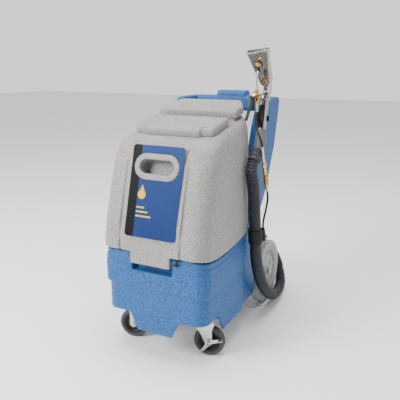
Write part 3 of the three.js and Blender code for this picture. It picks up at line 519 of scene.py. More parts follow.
def hose_cuff():
    """Soft cuff: a ribbed collar in line with the hose and a smooth paler taper in line with the tube."""
    low, high = np.array((256, -51.6, 762.6)), np.array((265, -9, 828))
    collar = [
        (21, 0), (27, 0), (27.5, 1), (27.5, 4), (26.6, 6), (26, 7), (26, 12), (25.2, 13), (25.2, 14),
        (26, 15), (25.8, 30), (25, 31), (25, 32), (25.8, 33), (25.6, 48), (25, 50), (23.6, 51),
        (22, 51),
    ]
    taper = [(17.4, -13), (24.1, -13), (24.2, 0), (21.6, 44), (21, 49), (20.4, 50), (17.4, 50)]
    lower = lathe("cuff", collar, low, high, 48, closed=True, smooth_angle=45)
    lower = part(lower, "base", "cuff", material=COLLAR)
    neck = lathe("neck", [(19, 49), (25.1, 49), (24.2, 66), (24.2, 76), (19, 76)], low, high, 48, closed=True)
    upper = merged("cuff_taper", [neck, lathe("taper", taper, TUBE_LOW, TUBE_HIGH, 48, closed=True)], 45)
    return lower, part(upper, "base", "cuff", "hose_cuff")


hose, hose_path = vacuum_hose()
collar, cuff = hose_cuff()
line_path = smooth_route(PRESSURE_ROUTE, 3)
line = part(sweep("solution_line", line_path, LINE_R, 16), "base", "hose_black", "solution_hose")
whip_path = smooth_route(WHIP_ROUTE, 3)
whip = part(sweep("whip_line", whip_path, LINE_R, 16), "base", "hose_black", "whip_hose")
sleeve_path = whip_path[-26:]
sleeve_radii = np.interp(np.arange(len(sleeve_path)), (0, 2, 22, 25), (4.8, 6.4, 6.6, 5.6))
whip_sleeve = sweep("whip_sleeve", sleeve_path, sleeve_radii, 24)
whip_sleeve = part(whip_sleeve, "base", "hose_black", material=MATERIAL["grip_rubber"])


def quick_coupling():
    """Brass coupling with a knurled sleeve, also in brass, and the whip hose's long pale ferrule above it."""
    low, high = (290, 26, 623), (290, -54.5, 822)
    body = [
        (0, 0), (4.4, 0), (5, 1), (5, 12), (6.5, 14), (6.5, 18), (7.6, 19), (8, 20), (8, 36), (7, 38),
        (7, 84), (8, 86), (8, 94), (7.2, 95), (7.2, 97), (8, 98), (8, 120), (7, 122), (7, 140),
        (6, 141), (6, 146), (0, 146),
    ]
    sleeve = [(7.1, 40), (10.4, 40)] + [
        (11 - 0.7 * (i % 2), 41 + 1.5 * i) for i in range(25)] + [(10.4, 79), (7.1, 79)]
    ferrule = [
        (0, 141), (6.4, 141), (6.8, 142), (6.8, 156), (5.6, 158), (5.6, 172), (5.2, 173), (5.6, 174),
        (5.6, 188), (5.2, 189), (5.6, 190), (5.6, 212), (5.1, 214.4), (0, 214.4),
    ]
    nut = [np.asarray(low) + (np.asarray(high) - low) * along / distance(low, high) for along in (123, 138)]
    brass = merged("coupling", [lathe("body", body, low, high, 40), hexagon(*nut, 11)])
    return [part(brass, "base", "brass", "quick_coupling"),
            part(lathe("coupling_sleeve", sleeve, low, high, 48, closed=True), "base", "brass"),
            part(lathe("whip_ferrule", ferrule, low, high, 32), "base", "zinc")]


coupling = quick_coupling()
in_row(hose_path[0])[0]
in_row(hose_path[::4])
in_row(line_path[0])[0]
in_row(line_path)
in_row(whip_path[0])[0]
in_row(whip_path)


# ---- lofted shells
def loft(name, levels, steps=14):
    """Rounded rectangles (z, half, front, back, front corner, back corner), one above another."""
    points = []
    for z, half, front, back, rf, rb in levels:
        for cx, cy, r, start in ((half - rb, back - rb, rb, 0), (-half + rb, back - rb, rb, 90),
                                 (-half + rf, front + rf, rf, 180), (half - rf, front + rf, rf, 270)):
            points += [(cx + r * math.cos(math.radians(start + 90 * i / steps)),
                        cy + r * math.sin(math.radians(start + 90 * i / steps)), z) for i in range(steps + 1)]
    return mesh_object(name, points, rings_faces(len(levels), 4 * (steps + 1)))


def reshape(piece, move):
    """Moves each vertex by a function of its place in mm about the middle plane."""
    co = np.empty(3 * len(piece.data.vertices))
    piece.data.vertices.foreach_get("co", co)
    p = (co.reshape(-1, 3) - (MID, 0, 0)) / MM
    piece.data.vertices.foreach_set("co", in_row(move(p)).ravel())
    piece.data.update()
    return piece


def raised(piece, z, y):
    """Lifts a piece on to the sloping roof, to height z where it passes y."""
    return reshape(piece, lambda p: p + np.column_stack([0 * p[:, :2], z + ROOF_RISE * (p[:, 1] - y)]))


LEAN_LOW, LEAN_HIGH, LEAN_SHIFT = 505, 850, 93
SLOPE = math.atan(LEAN_SHIFT / (LEAN_HIGH - LEAN_LOW))
ROOF_RISE, ROOF_PIVOT = 0.2, -268
TANK_FRONT = -447
HAND_Z = 771  # the middle of the hand-hold
GROOVE_X = 131
LABEL_LOW, LABEL_HIGH, LABEL_HALF = 514, 848, 110
TANK_DRAW = [(390, 0), (480, 0), (560, 1), (650, 2), (740, 4), (800, 7), (835, 12), (855, 20), (868, 32),
             (873, 44)]  # height, and how far the sides have drawn in there


def smoothstep(v, low, high):
    t = np.clip((v - low) / (high - low), 0, 1)
    return t * t * (3 - 2 * t)


def lean_at(z):
    return LEAN_SHIFT * np.clip((z - LEAN_LOW) / (LEAN_HIGH - LEAN_LOW), 0, 1.25)


def tank_body(inset, name):
    levels = []
    heights = [390, 480, 560, 650, 740, 780, 800, 818, 835, 846, 855, 862, 868, 871, 873]
    draws = np.interp(heights, *zip(*TANK_DRAW))
    for z, draw in zip(heights, draws):
        shift = draw - 5 if z > 800 else 0
        drop = inset if inset and z > 800 else 0
        levels.append((z - drop, 229 - inset - draw, TANK_FRONT + inset + shift, 100 - inset - 0.3 * draw,
                       62 - inset + 0.6 * draw, 165 - inset - 0.8 * draw))
    body = loft(name, levels)

    def move(p):
        p[:, 1] += lean_at(p[:, 2]) * (1 - smoothstep(p[:, 1], -330, -60))
        p[:, 2] += ROOF_RISE * (p[:, 1] - ROOF_PIVOT) * smoothstep(p[:, 2], 560, 880)
        return p

    return reshape(body, move)


UNDERSIDE = [(-470, 455), (-370, 438), (-318, 431.5), (-244, 431), (-165, 435), (-82, 445), (-21, 458),
             (0, 492), (30, 512), (200, 512)]


def above_underside(lift):
    return prism("x", [(200, 1300), (-470, 1300)] + [(y, z + lift) for y, z in UNDERSIDE], -300, 300)


def on_front(piece, z):
    """Tips a piece made about the origin, facing -Y, on to the tank's leaning front at a height."""
    lift = Matrix.Translation((0, (TANK_FRONT + lean_at(z)) * MM, z * MM))
    return moved(piece, lift @ Matrix.Rotation(-SLOPE, 4, "X"))


def recovery_tank():
    outer = keep(tank_body(0, "tank_shell"), above_underside(1.5))
    inner = keep(tank_body(13, "inner"), above_underside(11))
    tank = cut(outer, inner)

    def hand(grow, back, front):
        return on_front(prism("y", rounded(73 + grow, 54 + 2 * grow, 27 + grow - 0.5), front, back), HAND_Z)

    tank = join(tank, box((-85, -447.4, 406), (85, -433.4, 470)), hand(22, 2, -6), hand(5, 51, -2))
    tank = cut(tank, hand(0, 46, -10))
    tank = cut(tank, box((-135, -242, 800), (135, -122, 1000)))
    rim = [(-167, -50), (167, -50), (167, 8), (126, 87), (-126, 87), (-167, 8)]
    coaming = prism("z", rim, -54, -33)
    raised(coaming, 961, -58)
    tank = join(tank, coaming)
    tank = cut(tank, box((-120, -44, 800), (120, 76, 1000)))
    grooves = [piece for x in (-GROOVE_X, GROOVE_X) for piece in (
        on_front(prism("y", [(x - 6, -272), (x + 6, -272), (x + 6, 76), (x - 6, 76)], -8, 8.5), HAND_Z),
        box((x - 6, -460, 425), (x + 6, -438.5, 512)))]
    tank = cut(tank, *grooves)
    part(moulded(tank, 2.6, 5), "tank", "grey_shell", "recovery_tank")


def label_print():
    """The label's colours: a black band down its left edge and a deep blue field."""
    look = shader("label_print", 0.5, specular=0.12)
    where = look.place()
    axes = look.axes(where)
    across = look.scaled(axes["X"], MID - LABEL_HALF * MM, MID + LABEL_HALF * MM, "From")
    upward = look.scaled(axes["Z"], LABEL_LOW * MM, LABEL_HIGH * MM, "From")
    band = look.ramp(across, [(0.172, grey(0)), (0.178, grey(1))])
    field = look.ramp(upward, [
        (0.0, (0.008, 0.026, 0.115)), (0.55, (0.009, 0.032, 0.135)), (1.0, (0.014, 0.045, 0.165))])
    cloud = look.ramp(look.noise(where, 9), [(0.3, (0.007, 0.024, 0.11)), (0.7, (0.014, 0.045, 0.16))])
    look.feed("Base Color", look.blend(band, (0.003, 0.003, 0.004), look.blend(0.25, field, cloud)))
    look.bump(look.noise(where, 300, 2), 0.04, 0.0003)
    return look.owner


def label_panel():
    """Printed film let into the front, with a plain drop over three lines on it."""
    height = (LABEL_HIGH - LABEL_LOW) / math.cos(SLOPE)
    film = prism("y", rounded(LABEL_HALF, height, 12, 8), -1.4, -0.5, "label_film")
    film = on_front(film, (LABEL_LOW + LABEL_HIGH) / 2)
    ring = on_front(prism("y", rounded(96, 100, 49, 16), -12, 12), HAND_Z)
    part(bevelled(cut(film, ring), 0.3, 1, 60), "tank", "label", "label_panel", material=label_print())

    def mark(outline, z):
        return on_front(prism("y", outline, -1.9, -1.45), z)

    left, middle, r = -69, -52, 17
    turn = np.radians(np.linspace(-230, 50, 30))
    drop = [(r * math.cos(a) + middle, r * math.sin(a)) for a in turn] + [(middle, 38)]
    lines = [mark([(left, -3), (left + wide, -3), (left + wide, 3), (left, 3)], z)
             for wide, z in ((34, 622), (50, 606), (66, 590))]
    marks = merged("label_marks", [mark(drop, 668), *lines])
    part(bevelled(marks, 0.15, 1, 60), "tank", "label", material=YELLOW)


recovery_tank()
label_panel()


# ---- base and handle frame
def base_levels(inset, bottom):
    low, high = 222 - inset, 231 - inset
    rows = [(bottom, low), (254, low), (256, low - 1.6), (258, low), (279, low), (281, low - 1.6), (283, low),
            (298, low), (303, high - 2), (306, high), (520, high)]
    return [(z, half, -(half + 203), 125 - inset, 50 - inset, 18 - inset) for z, half in rows]


def base_side(drop, reach=0):
    """The base's outline from the side, its top edge `drop` below the tank's seat."""
    bottom = [(-450, 185), (-302, 185), (-252, 103), (400, 103)]
    top = [(400, 508), (30, 508), (2, 488), (-21, 454), (-82, 441), (-165, 431), (-244, 427), (-318, 428),
           (-370, 434), (-450, 451)]
    return [(y, z - reach) for y, z in bottom] + [(y, z - drop) for y, z in top]


def base_block(inset, drop, name):
    return keep(loft(name, base_levels(inset, 103)), prism("x", base_side(drop), -260, 260))


def both(make):
    return [make(1), make(-1)]


def side_box(s, xs, ys, zs):
    """A box on the right (s = 1) or mirrored to the left (s = -1)."""
    low, high = sorted(s * x for x in xs)
    return box((low, ys[0], zs[0]), (high, ys[1], zs[1]))


def side_prism(s, points, low, high):
    return prism("z", [(s * x, y) for x, y in points], low, high)


def base_housing():
    body = join(base_block(0, 52, "base_shell"), base_block(2.6, 27, "rim"), base_block(7.5, 3, "seat"))
    tail = loft("tail", [(z, 150, 0, 330, 50, 18) for z in (112, 340)])
    body = join(body, tail)
    flank = [(240, -72), (214, -52), (206, -20), (206, 140), (240, 140)]
    body = cut(body, *both(lambda s: side_box(s, (177, 260), (-42, 200), (343, 560))),
               *both(lambda s: side_prism(s, flank, 60, 343)))
    hollow = loft("hollow", [(z, half - 9, front + 9, 116, 41, 9) for z, half, front in
                             ((83, 222, -425), (303, 222, -425), (312, 224, -427), (520, 224, -427))])
    hollow = join(keep(hollow, prism("x", base_side(9, 100), -260, 260)),
                  loft("tail_hollow", [(z, 144, 0, 324, 44, 12) for z in (92, 334)]))
    inner_flank = [(240, -78), (208, -58), (200, -24), (200, 140), (240, 140)]
    hollow = cut(hollow, *both(lambda s: side_box(s, (171, 260), (-48, 200), (337, 560))),
                 *both(lambda s: side_prism(s, inner_flank, 40, 343)))
    body = cut(body, hollow)
    body = join(body, prism("y", [(-113, 190), (-79, 113), (79, 113), (113, 190)], -425, -419),
                box((-94, -431, 367), (94, -394, 430)))
    body = cut(body, box((-88, -454, 373), (88, -400, 475)))
    body = join(body, *both(lambda s: side_box(s, (92, 122), (-433.5, -418), (420, 445))))
    holes = [rod((60, -10, 400), (60, -10, 540), 27), rod((110, 300, 252), (110, 345, 252), 24),
             rod((-240, 295, 152.4), (240, 295, 152.4), 9), rod((-120, -210, 400), (-120, -210, 460), 30)]
    body = cut(body, *holes)
    part(moulded(body, 3.2, 6), "base", "blue_shell", "base_housing")


base_housing()
part(moulded(cad_copy("handle_frame", "handle_shell"), 3.6, 12), "base", "blue_shell", "handle_frame")


# ---- lids
def soft_outline(points, r, steps=7):
    """A closed outline with each corner rounded by a curve that starts `r` before it."""
    points = np.asarray(points, float)
    soft = []
    for i, corner in enumerate(points):
        before, after = points[i - 1] - corner, points[(i + 1) % len(points)] - corner
        reach = [min(r, 0.45 * np.linalg.norm(side)) / np.linalg.norm(side) for side in (before, after)]
        a, b = corner + before * reach[0], corner + after * reach[1]
        soft += [(1 - t) ** 2 * a + 2 * t * (1 - t) * corner + t * t * b for t in np.linspace(0, 1, steps)]
    return np.array(soft)


def domed_plate(name, outline, rows):
    """An outline stacked at the heights of `rows`, (height, inset), which roll its edges over."""
    along = np.roll(outline, -1, 0) - np.roll(outline, 1, 0)
    along /= np.linalg.norm(along, axis=1)[:, None]
    inward = np.column_stack([-along[:, 1], along[:, 0]])
    rings = [np.column_stack([outline + inward * inset, np.full(len(outline), z)]) for z, inset in rows]
    return mesh_object(name, np.vstack(rings), rings_faces(len(rows), len(outline)), 40)


LID_THICK, LID_WALL, LID_DROP, BARREL = 32.6, 8, 20, 8
LID_EDGE = [(-32.6, 2.5), (-31.6, 0.8), (-30, 0), (-12, 0), (-8, 0.7), (-5, 2.2), (-2.6, 4.6), (-1, 7.6),
            (-0.2, 11), (0, 15)]


def lid(node, outline, inside, front, back, z, barrels):
    plate = cut(domed_plate(node + "_shell", soft_outline(outline, 16), LID_EDGE),
                prism("z", inside, -LID_THICK - 5, -LID_WALL))
    y = back + 9
    ears = [bevelled(join(rod((x - 22, y, -LID_DROP), (x + 22, y, -LID_DROP), BARREL, 32),
                          box((x - 21, y - BARREL - 6, -LID_DROP - 6), (x + 21, y, -LID_DROP + 6))), 1, 2)
            for x in barrels]
    plate = join(plate, *ears)
    raised(plate, z, front)
    pin_y, pin_z = y, z + ROOF_RISE * (y - front) - LID_DROP
    plate = cut(plate, rod((-200, pin_y, pin_z), (200, pin_y, pin_z), 3.4))
    shade(plate, 40)
    part(plate, node, "grey_shell", node)


lid("front_lid",
    [(-171, -252), (-124, -254), (-116, -268), (116, -268), (124, -254), (171, -252), (171, -104),
     (-171, -104)],
    [(-165, -240), (165, -240), (165, -114), (-165, -114)], -268, -104, 906, (-120, 120))
lid("rear_lid",
    [(-181, -58), (181, -58), (181, 12), (138, 98), (-138, 98), (-181, 12)],
    [(-172, -49), (172, -49), (172, 8), (132, 90), (-132, 90), (-172, 8)], -58, 98, 961, (-90, 90))


# ---- tool
def aimed(piece, start, end):
    """Turns a piece made along +Z from the origin on to the line from start towards end."""
    turn = Vector((0, 0, 1)).rotation_difference(Vector(np.subtract(end, start)))
    return moved(piece, Matrix.Translation(Vector(start) * MM) @ turn.to_matrix().to_4x4())


def on_tube(distance):
    """A point on the tool tube's axis."""
    return TUBE_LOW + (TUBE_HIGH - TUBE_LOW) / np.linalg.norm(TUBE_HIGH - TUBE_LOW) * distance


ELBOW_ROUTE = [(254.8, 56, 991), (254.2, 59.6, 1000), (254.6, 65.4, 1013), (258, 71, 1027),
               (261.5, 69.5, 1040), (263.5, 62, 1052), (264, 52, 1064), (263.1, 47.7, 1071.4)]
TUBE_R, SLEEVE_R = 17, 20.5
HEAD_HALF = 44.5
VALVE_X, VALVE_Y, VALVE_Z = 241, 0, 1010


def tool_head():
    """Folded steel head: a crease above the neck, a straight flare, and a rolled lip round the slot."""
    length = float(np.linalg.norm(MOUTH - NECK))

    def flare(name, rows):
        return loft(name, [(z, half, -depth, depth, r, r) for z, half, depth, r in rows], 6)

    outer = flare("outer", [
        (-7, 18, 18, 17.6), (5, 22, 17, 9), (8, 23.4, 16.4, 5), (length - 20, 41.8, 10.6, 3),
        (length - 17, 42.6, 11.2, 3), (length - 3, HEAD_HALF - 0.2, 12.7, 3),
        (length, HEAD_HALF - 0.8, 12.2, 2.6)])
    inner = flare("inner", [
        (-4, 14, 14, 13.6), (8, 20.6, 14, 4), (length - 20, 39.4, 8.4, 2),
        (length + 3, HEAD_HALF - 2.6, 10.2, 2)])
    head = aimed(cut(outer, inner), NECK, MOUTH)
    route = smooth_route(ELBOW_ROUTE, 3)
    elbow = cut(sweep("elbow", route, TUBE_R, 40), sweep("bore", route, TUBE_R - 2, 40))
    ring = [(TUBE_R + 0.1, 171), (21.2, 171), (22, 172), (22, 177), (20.4, 178), (20.4, 181), (22, 182),
            (22, 186), (21.2, 187), (TUBE_R - 1, 187)]
    ring = lathe("ring", ring, TUBE_LOW, TUBE_HIGH, 48, closed=True)
    head = merged("spray_head", [bevelled(head, 0.7, 2, 25), elbow, ring])
    part(head, "base", "chrome", "tool_head")


def tool_grip():
    """Rubber sleeve with a slit down the right, where the tube shows."""
    outline = [(r * math.cos(a), r * math.sin(a)) for r, start, end, count in
               ((SLEEVE_R, 58, 302, 50), (TUBE_R + 0.4, 300, 60, 44))
               for a in np.radians(np.linspace(start, end, count))]
    sleeve = aimed(prism("z", outline, 54, 150, "grip_sleeve"), TUBE_LOW, TUBE_HIGH)
    part(bevelled(sleeve, 0.9, 3, 50), "base", "grip_rubber", "tool_grip")


def tool_valve():
    """Brass block with unions above and in front, a steel stem below, and a plated bracket to the tube."""
    x, y, z = VALVE_X, VALVE_Y, VALVE_Z
    block = bevelled(box((x - 11, y - 11, z - 16), (x + 11, y + 11, z + 16), "valve_block"), 2.2, 3)
    unions = [
        hexagon((x, y, z + 15), (x, y, z + 24), 8.4), rod((x, y, z + 23), (x, y, z + 28), 6),
        hexagon((x, y, z + 27), (x, y, z + 32), 7.2),
        hexagon((x - 4, y - 10, z + 2), (x - 4, y - 18, z + 2), 9),
        rod((x - 4, y - 17, z + 2), (x - 4, y - 26, z + 2), 5.4),
        hexagon((x - 10, y - 2, z - 6), (x - 17, y - 3, z - 9), 7),
        rod((x, y + 1, z - 14), (x, y + 3, z - 24), 8),
    ]
    part(merged("valve_body", [block, *unions]), "base", "brass", "tool_valve")
    stem = [hexagon((x, y + 3, z - 22), (x, y + 4.4, z - 32), 8.6),
            rod((x, y + 4, z - 30), (x, y + 8, z - 57.5), 6.2)]
    plate = bevelled(box((x - 3, y + 8, z - 7), (x + 6, y + 28, z + 7)), 1, 2)
    fork = [(y - 18, z - 12), (y + 12, z - 12), (y + 16, z + 4), (y + 2, z + 24), (y - 12, z + 22)]
    fork = bevelled(prism("x", fork, x - 15, x - 12.4), 0.8, 2)
    nut = cut(bevelled(box((x + 11, y + 1, z + 2), (x + 17, y + 15, z + 16)), 1.2, 2),
              rod((x + 13, y + 8, z + 9), (x + 20, y + 8, z + 9), 3))
    part(merged("valve_hardware", [*stem, plate, fork, nut]), "base", "zinc")


def tool_trigger():
    """Two-legged lever: a long outer leg for the fingers and a short inner one that works the valve."""
    x, y, z = VALVE_X, VALVE_Y, VALVE_Z
    long_leg = [(y - 46, z - 2), (y - 37, z - 2), (y - 46, z - 40), (y - 60, z - 58), (y - 83, z - 86),
                (y - 90, z - 81), (y - 70, z - 58), (y - 55, z - 36)]
    short_leg = [(y - 40, z - 2), (y - 30, z - 2), (y - 29, z - 26), (y - 34, z - 48), (y - 43, z - 46),
                 (y - 40, z - 22)]
    lever = join(box((x - 14, y - 46, z - 4), (x + 5, y - 30, z + 7.5), "trigger_lever"),
                 prism("x", long_leg, x - 14, x - 4), prism("x", short_leg, x - 2, x + 5))
    part(bevelled(lever, 1.4, 3), "trigger", "black_plastic", "tool_trigger")


def spray_jet():
    """Plated feed line, dark swivel and brass jet on the front of the head."""
    x, y, z = VALVE_X, VALVE_Y, VALVE_Z
    _, foot_y, foot_z = NECK + 0.56 * (MOUTH - NECK)
    jet_x = x + 11
    feed = smooth_route([(x, y, z + 32.6), (x, y - 1, z + 48), (x + 6, foot_y - 29, foot_z - 48),
                         (jet_x, foot_y - 27, foot_z - 16)], 2)
    bands = 3.4 + 0.5 * (np.arange(len(feed)) % 3 == 0)
    part(sweep("feed_line", feed, bands, 20), "base", "zinc")
    foot = np.array((jet_x, foot_y - 26, foot_z - 18))
    tip = np.array((jet_x - 1, foot_y - 34, foot_z + 8))

    def line_at(t):
        return foot + (tip - foot) * t

    swivel = [hexagon(line_at(-0.3), line_at(0.35), 6.6), rod(line_at(0.3), line_at(0.6), 5.2)]
    part(merged("jet_swivel", swivel), "base", "black_plastic", material=DARK)
    jet = merged("jet_body", [
        hexagon(line_at(0.55), line_at(0.86), 7.4), rod(line_at(0.84), line_at(1.04), 5.4, 32, 2),
        rod(line_at(0.7), line_at(0.7) + (-12, 4, 2), 4.8, 32, 1.6),
        bevelled(box((jet_x - 4, foot_y - 28, foot_z - 14), (jet_x + 4, foot_y - 14, foot_z - 6)), 1, 2)])
    part(jet, "base", "brass", "spray_jet")


tool_head()
wand = pipe(TUBE_LOW, on_tube(177.6), TUBE_R, TUBE_R - 2, 56, 0.6, "wand_tube")
part(wand, "base", "chrome", "tool_tube")
tool_grip()
tool_valve()
tool_trigger()
spray_jet()
part(bevelled(cad_copy("tool_holder", "holder_cradle"), 1, 2, 40), "base", "black_plastic", "tool_holder")


# ---- rear wheels
WHEEL_Y, WHEEL_Z, WHEEL_OUT, WHEEL_W = 295, 152.4, 218, 46


def knurled_tyre(name, start, end):
    """Tyre whose tread is crossed by small staggered lugs."""
    sides, lug_pitch = 150, 3.2
    shoulder = [(118.4, 4), (124, 1.4), (130, 0.4), (141, 0.8), (147, 2.6), (150.6, 5.5)]
    tread = [(151.6, 7 + lug_pitch * i) for i in range(11)]
    profile = shoulder + tread + [(r, WHEEL_W - h) for r, h in shoulder[::-1]]
    tyre = lathe(name, profile, start, end, sides, closed=True, smooth_angle=50)

    def lugs(p):
        dy, dz = p[:, 1] - WHEEL_Y, p[:, 2] - WHEEL_Z
        r = np.hypot(dy, dz)
        turn = np.round((np.arctan2(dz, dy) / (2 * math.pi) + 1) * sides).astype(int)
        row = np.round((np.abs(p[:, 0]) - (WHEEL_OUT - WHEEL_W) - 7) / lug_pitch).astype(int)
        lift = np.where((turn // 2 + row) % 2 == 0, 0.8, 0) - np.where(row == 5, 1.6, 0)
        lift = np.where(r > 151, lift, 0)
        p[:, 1] += dy / r * lift
        p[:, 2] += dz / r * lift
        return p

    return reshape(tyre, lugs)


def rear_wheel(side, s):
    start, end = ((s * x, WHEEL_Y, WHEEL_Z) for x in (WHEEL_OUT - WHEEL_W, WHEEL_OUT))
    disc = [
        (9, 0), (25, 0), (26, 1), (26, 12), (28, 14), (88, 15), (92, 12), (95, 4), (97, 3), (118, 3),
        (118, 38), (117, 42.4), (114, 43), (109, 42), (105, 38), (99, 27), (95, 25.6), (91, 26.4),
        (87.5, 33), (85, 34.2), (33, 34.2), (31, 35), (30, 41), (28.6, 42), (9, 42),
    ]
    hub = lathe("wheel_disc_" + side, disc, start, end, 96, closed=True, smooth_angle=35)

    def slot(g, h):
        y, low, high = WHEEL_Y + g * 42, WHEEL_Z + h * 13, WHEEL_Z + h * 43
        return prism("x", soft_outline([(y - 4, low), (y + 4, low), (y + 4, high), (y - 4, high)], 3, 4),
                     *sorted((s * 180, s * 230)))

    hub = cut(hub, *[slot(g, h) for g in (-1, 1) for h in (-1, 1)])
    shade(hub, 35)
    body = side + "_wheel"
    part(hub, body, "wheel_plastic", "wheel_rim_" + side)
    part(knurled_tyre("wheel_tread_" + side, start, end), body, "wheel_plastic", "wheel_tyre_" + side)

    def at(x, y, z):
        return s * x, WHEEL_Y + y, WHEEL_Z + z

    clip = [at(224, -14, -10), at(224, -9, 3), at(225, 0, 9), at(225, 10, 14), at(225, 24, 27),
            at(226, 38, 37)]
    washer = pipe(at(219, 0, 0), at(221.5, 0, 0), 16, 8.3)
    pin = rod(at(224, -12, -9), at(224, 12, 9), 1.8, 16, 0.4)
    part(merged("axle_cotter_" + side, [sweep("clip", smooth_route(clip, 2), 1.7, 12), washer, pin]),
         "base", "zinc", "axle_clip_" + side)


for side, s in SIDES:
    rear_wheel(side, s)
axle = rod((-228, WHEEL_Y, WHEEL_Z), (228, WHEEL_Y, WHEEL_Z), 8, 40, 1.2, "axle_bar")
part(axle, "base", "zinc", "rear_axle")


# ---- casters
CASTER_X, CASTER_Y, CASTER_TURN, TRAIL, CASTER_R, PLATE_TOP = 154.5, -291, 12.3, 22, 63.5, 164.6


def caster(side, s):
    spot = Matrix.Translation((s * CASTER_X * MM, CASTER_Y * MM, 0))
    swivel = spot @ Matrix.Rotation(math.radians(CASTER_TURN + (180 if s < 0 else 0)), 4, "Z")
    name = "caster_" + side + "_"
    top, t, r = PLATE_TOP, TRAIL, CASTER_R
    plate = soft_outline([(-51, -46), (51, -46), (51, 46), (-51, 46)], 9)
    plate = bevelled(prism("z", plate, top - 4, top), 0.6, 2)
    bolts = [piece for x in (-40, 40) for y in (-36, 36) for piece in (
        rod((x, y, top - 5.5), (x, y, top - 3.6), 8.5), hexagon((x, y, top - 11), (x, y, top - 5), 6.6))]
    race = [(0, 0), (33, 0), (34, 1), (34, 5), (31, 8), (0, 8.4)]
    race = lathe("race", race, (0, 0, top - 12), (0, 0, top), 56)
    king = rod((0, 0, top - 26), (0, 0, top - 11), 7)
    part(moved(merged(name + "mount", [plate, *bolts, race, king]), spot), "base", "zinc", name + "plate")

    crown, leg_y = top - 12.4, 20
    leg = [(-50, crown), (-50, crown - 8), (-12, crown - 52), (t - 14, r - 4), (t - 8, r - 12), (t, r - 14.5),
           (t + 8, r - 12), (t + 15, r - 3), (36, crown - 36), (46, crown - 8), (46, crown)]
    rib = [(-36, crown - 7), (-5, crown - 44), (t - 8, r + 14), (t + 4, r + 14), (25, crown - 34),
           (34, crown - 8)]
    sheets = [bevelled(prism("y", outline, *sorted((g * (leg_y + near), g * (leg_y + far)))), width, segments)
              for outline, near, far, width, segments in ((leg, 0, 3, 0.7, 2), (rib, 2, 4.2, 1.4, 3))
              for g in (1, -1)]
    cap = [(8, 0), (34, 0), (36, 2), (36, 4), (35, 5), (8, 5)]
    cap = lathe("cap", cap, (0, 0, crown - 5), (0, 0, crown), 56, closed=True)
    web = bevelled(box((-48, -leg_y - 1, crown - 5), (45, leg_y + 1, crown - 1)), 1.5, 3)
    web = cut(web, rod((0, 0, crown - 10), (0, 0, crown + 2), 7.6))
    bolt = [rod((t, -leg_y - 9, r), (t, leg_y + 6, r), 5, 24),
            hexagon((t, leg_y + 3, r), (t, leg_y + 9, r), 9)]
    yoke = moved(merged(name + "yoke", [*sheets, cap, web, *bolt]), swivel)
    part(yoke, side + "_fork", "zinc", name + "fork")

    core = [(6, 15), (13, 15), (14, 14), (14, 8), (16, 7), (34, 7), (38, 12.4), (39, 13), (47.4, 13)]
    tread = [(47.6, 13.6), (50, 15), (55, 16), (58, 15.4), (61, 13), (62.8, 9.6), (63.5, 5.4)]
    for label, profile, slot, node in (("hub", core, "black_plastic", "core"),
                                       ("tread", tread, "caster_rubber", "tyre")):
        profile = [(reach, -h) for reach, h in profile] + profile[::-1]
        turned = lathe(name + label, profile, (t, 0, r), (t, 1, r), 72, closed=True, smooth_angle=38)
        part(moved(turned, swivel), side + "_caster_wheel", slot, name + node)

    face = -leg_y - 3.4
    arm = [(t - 12, r + 3), (t - 13, r - 9), (t - 34, r - 42), (t - 27, r - 46), (t + 4, r - 13),
           (t + 14, r - 4), (t + 58, r + 12), (t + 56, r + 22), (t + 8, r + 13), (t - 4, r + 13)]
    lever = bevelled(prism("y", arm, face - 3, face), 0.6, 2)
    tab = [(t + 41, r + 14.5), (t + 58, r + 18), (t + 57, r + 22), (t + 41, r + 18.5)]
    tab = bevelled(prism("y", tab, face - 20, face), 1, 2)
    foot = bevelled(box((t - 35, face - 12, r - 46), (t - 26, face, r - 42.6)), 1, 2)

    def across(start, end):
        return (t, face + start, r), (t, face + end, r)

    lever = cut(merged("lever", [lever, tab, foot]), rod(*across(-30, 10), 5.4))
    washer = pipe(*across(-3, -5), 10.5, 5.4)
    nut = cut(hexagon(*across(-4.8, -10), 8.6), rod(*across(-30, 10), 5.3))
    pedal = moved(merged(name + "lever", [lever, washer, nut]), swivel)
    part(pedal, side + "_brake", "zinc", name + "pedal")


for side, s in SIDES:
    caster(side, s)


# ---- rear and small fittings
for node, width in (("switch_panel", 0.6), ("tank_latch", 0.5), ("chassis_pan", 0.6), ("drain_lever", 0.6),
                    ("vacuum_inlet", 1.2), ("hose_strap", 0.8), ("power_inlet", 0.8), ("drain_valve", 0.8),
                    ("filter_housing", 0.8), ("filter_cap", 0.8), ("solution_outlet", 0.5),
                    ("pump_switch", 0.8), ("left_vacuum_switch", 0.8), ("right_vacuum_switch", 0.8)):
    edge_bevel(frame["nodes"][node], width, 2, 35)  # softens the edges of CAD nodes that stay


PANEL_FACE = 163.8
DIAL_X, DIAL_Z, KNOB_Z = 80, 445, 393


def facing_back(name, profile, z, sides):
    """A profile turned about a line square to the rear panel, below or at the gauge."""
    return lathe(name, profile, (DIAL_X, PANEL_FACE, z), (DIAL_X, PANEL_FACE + 1, z), sides)


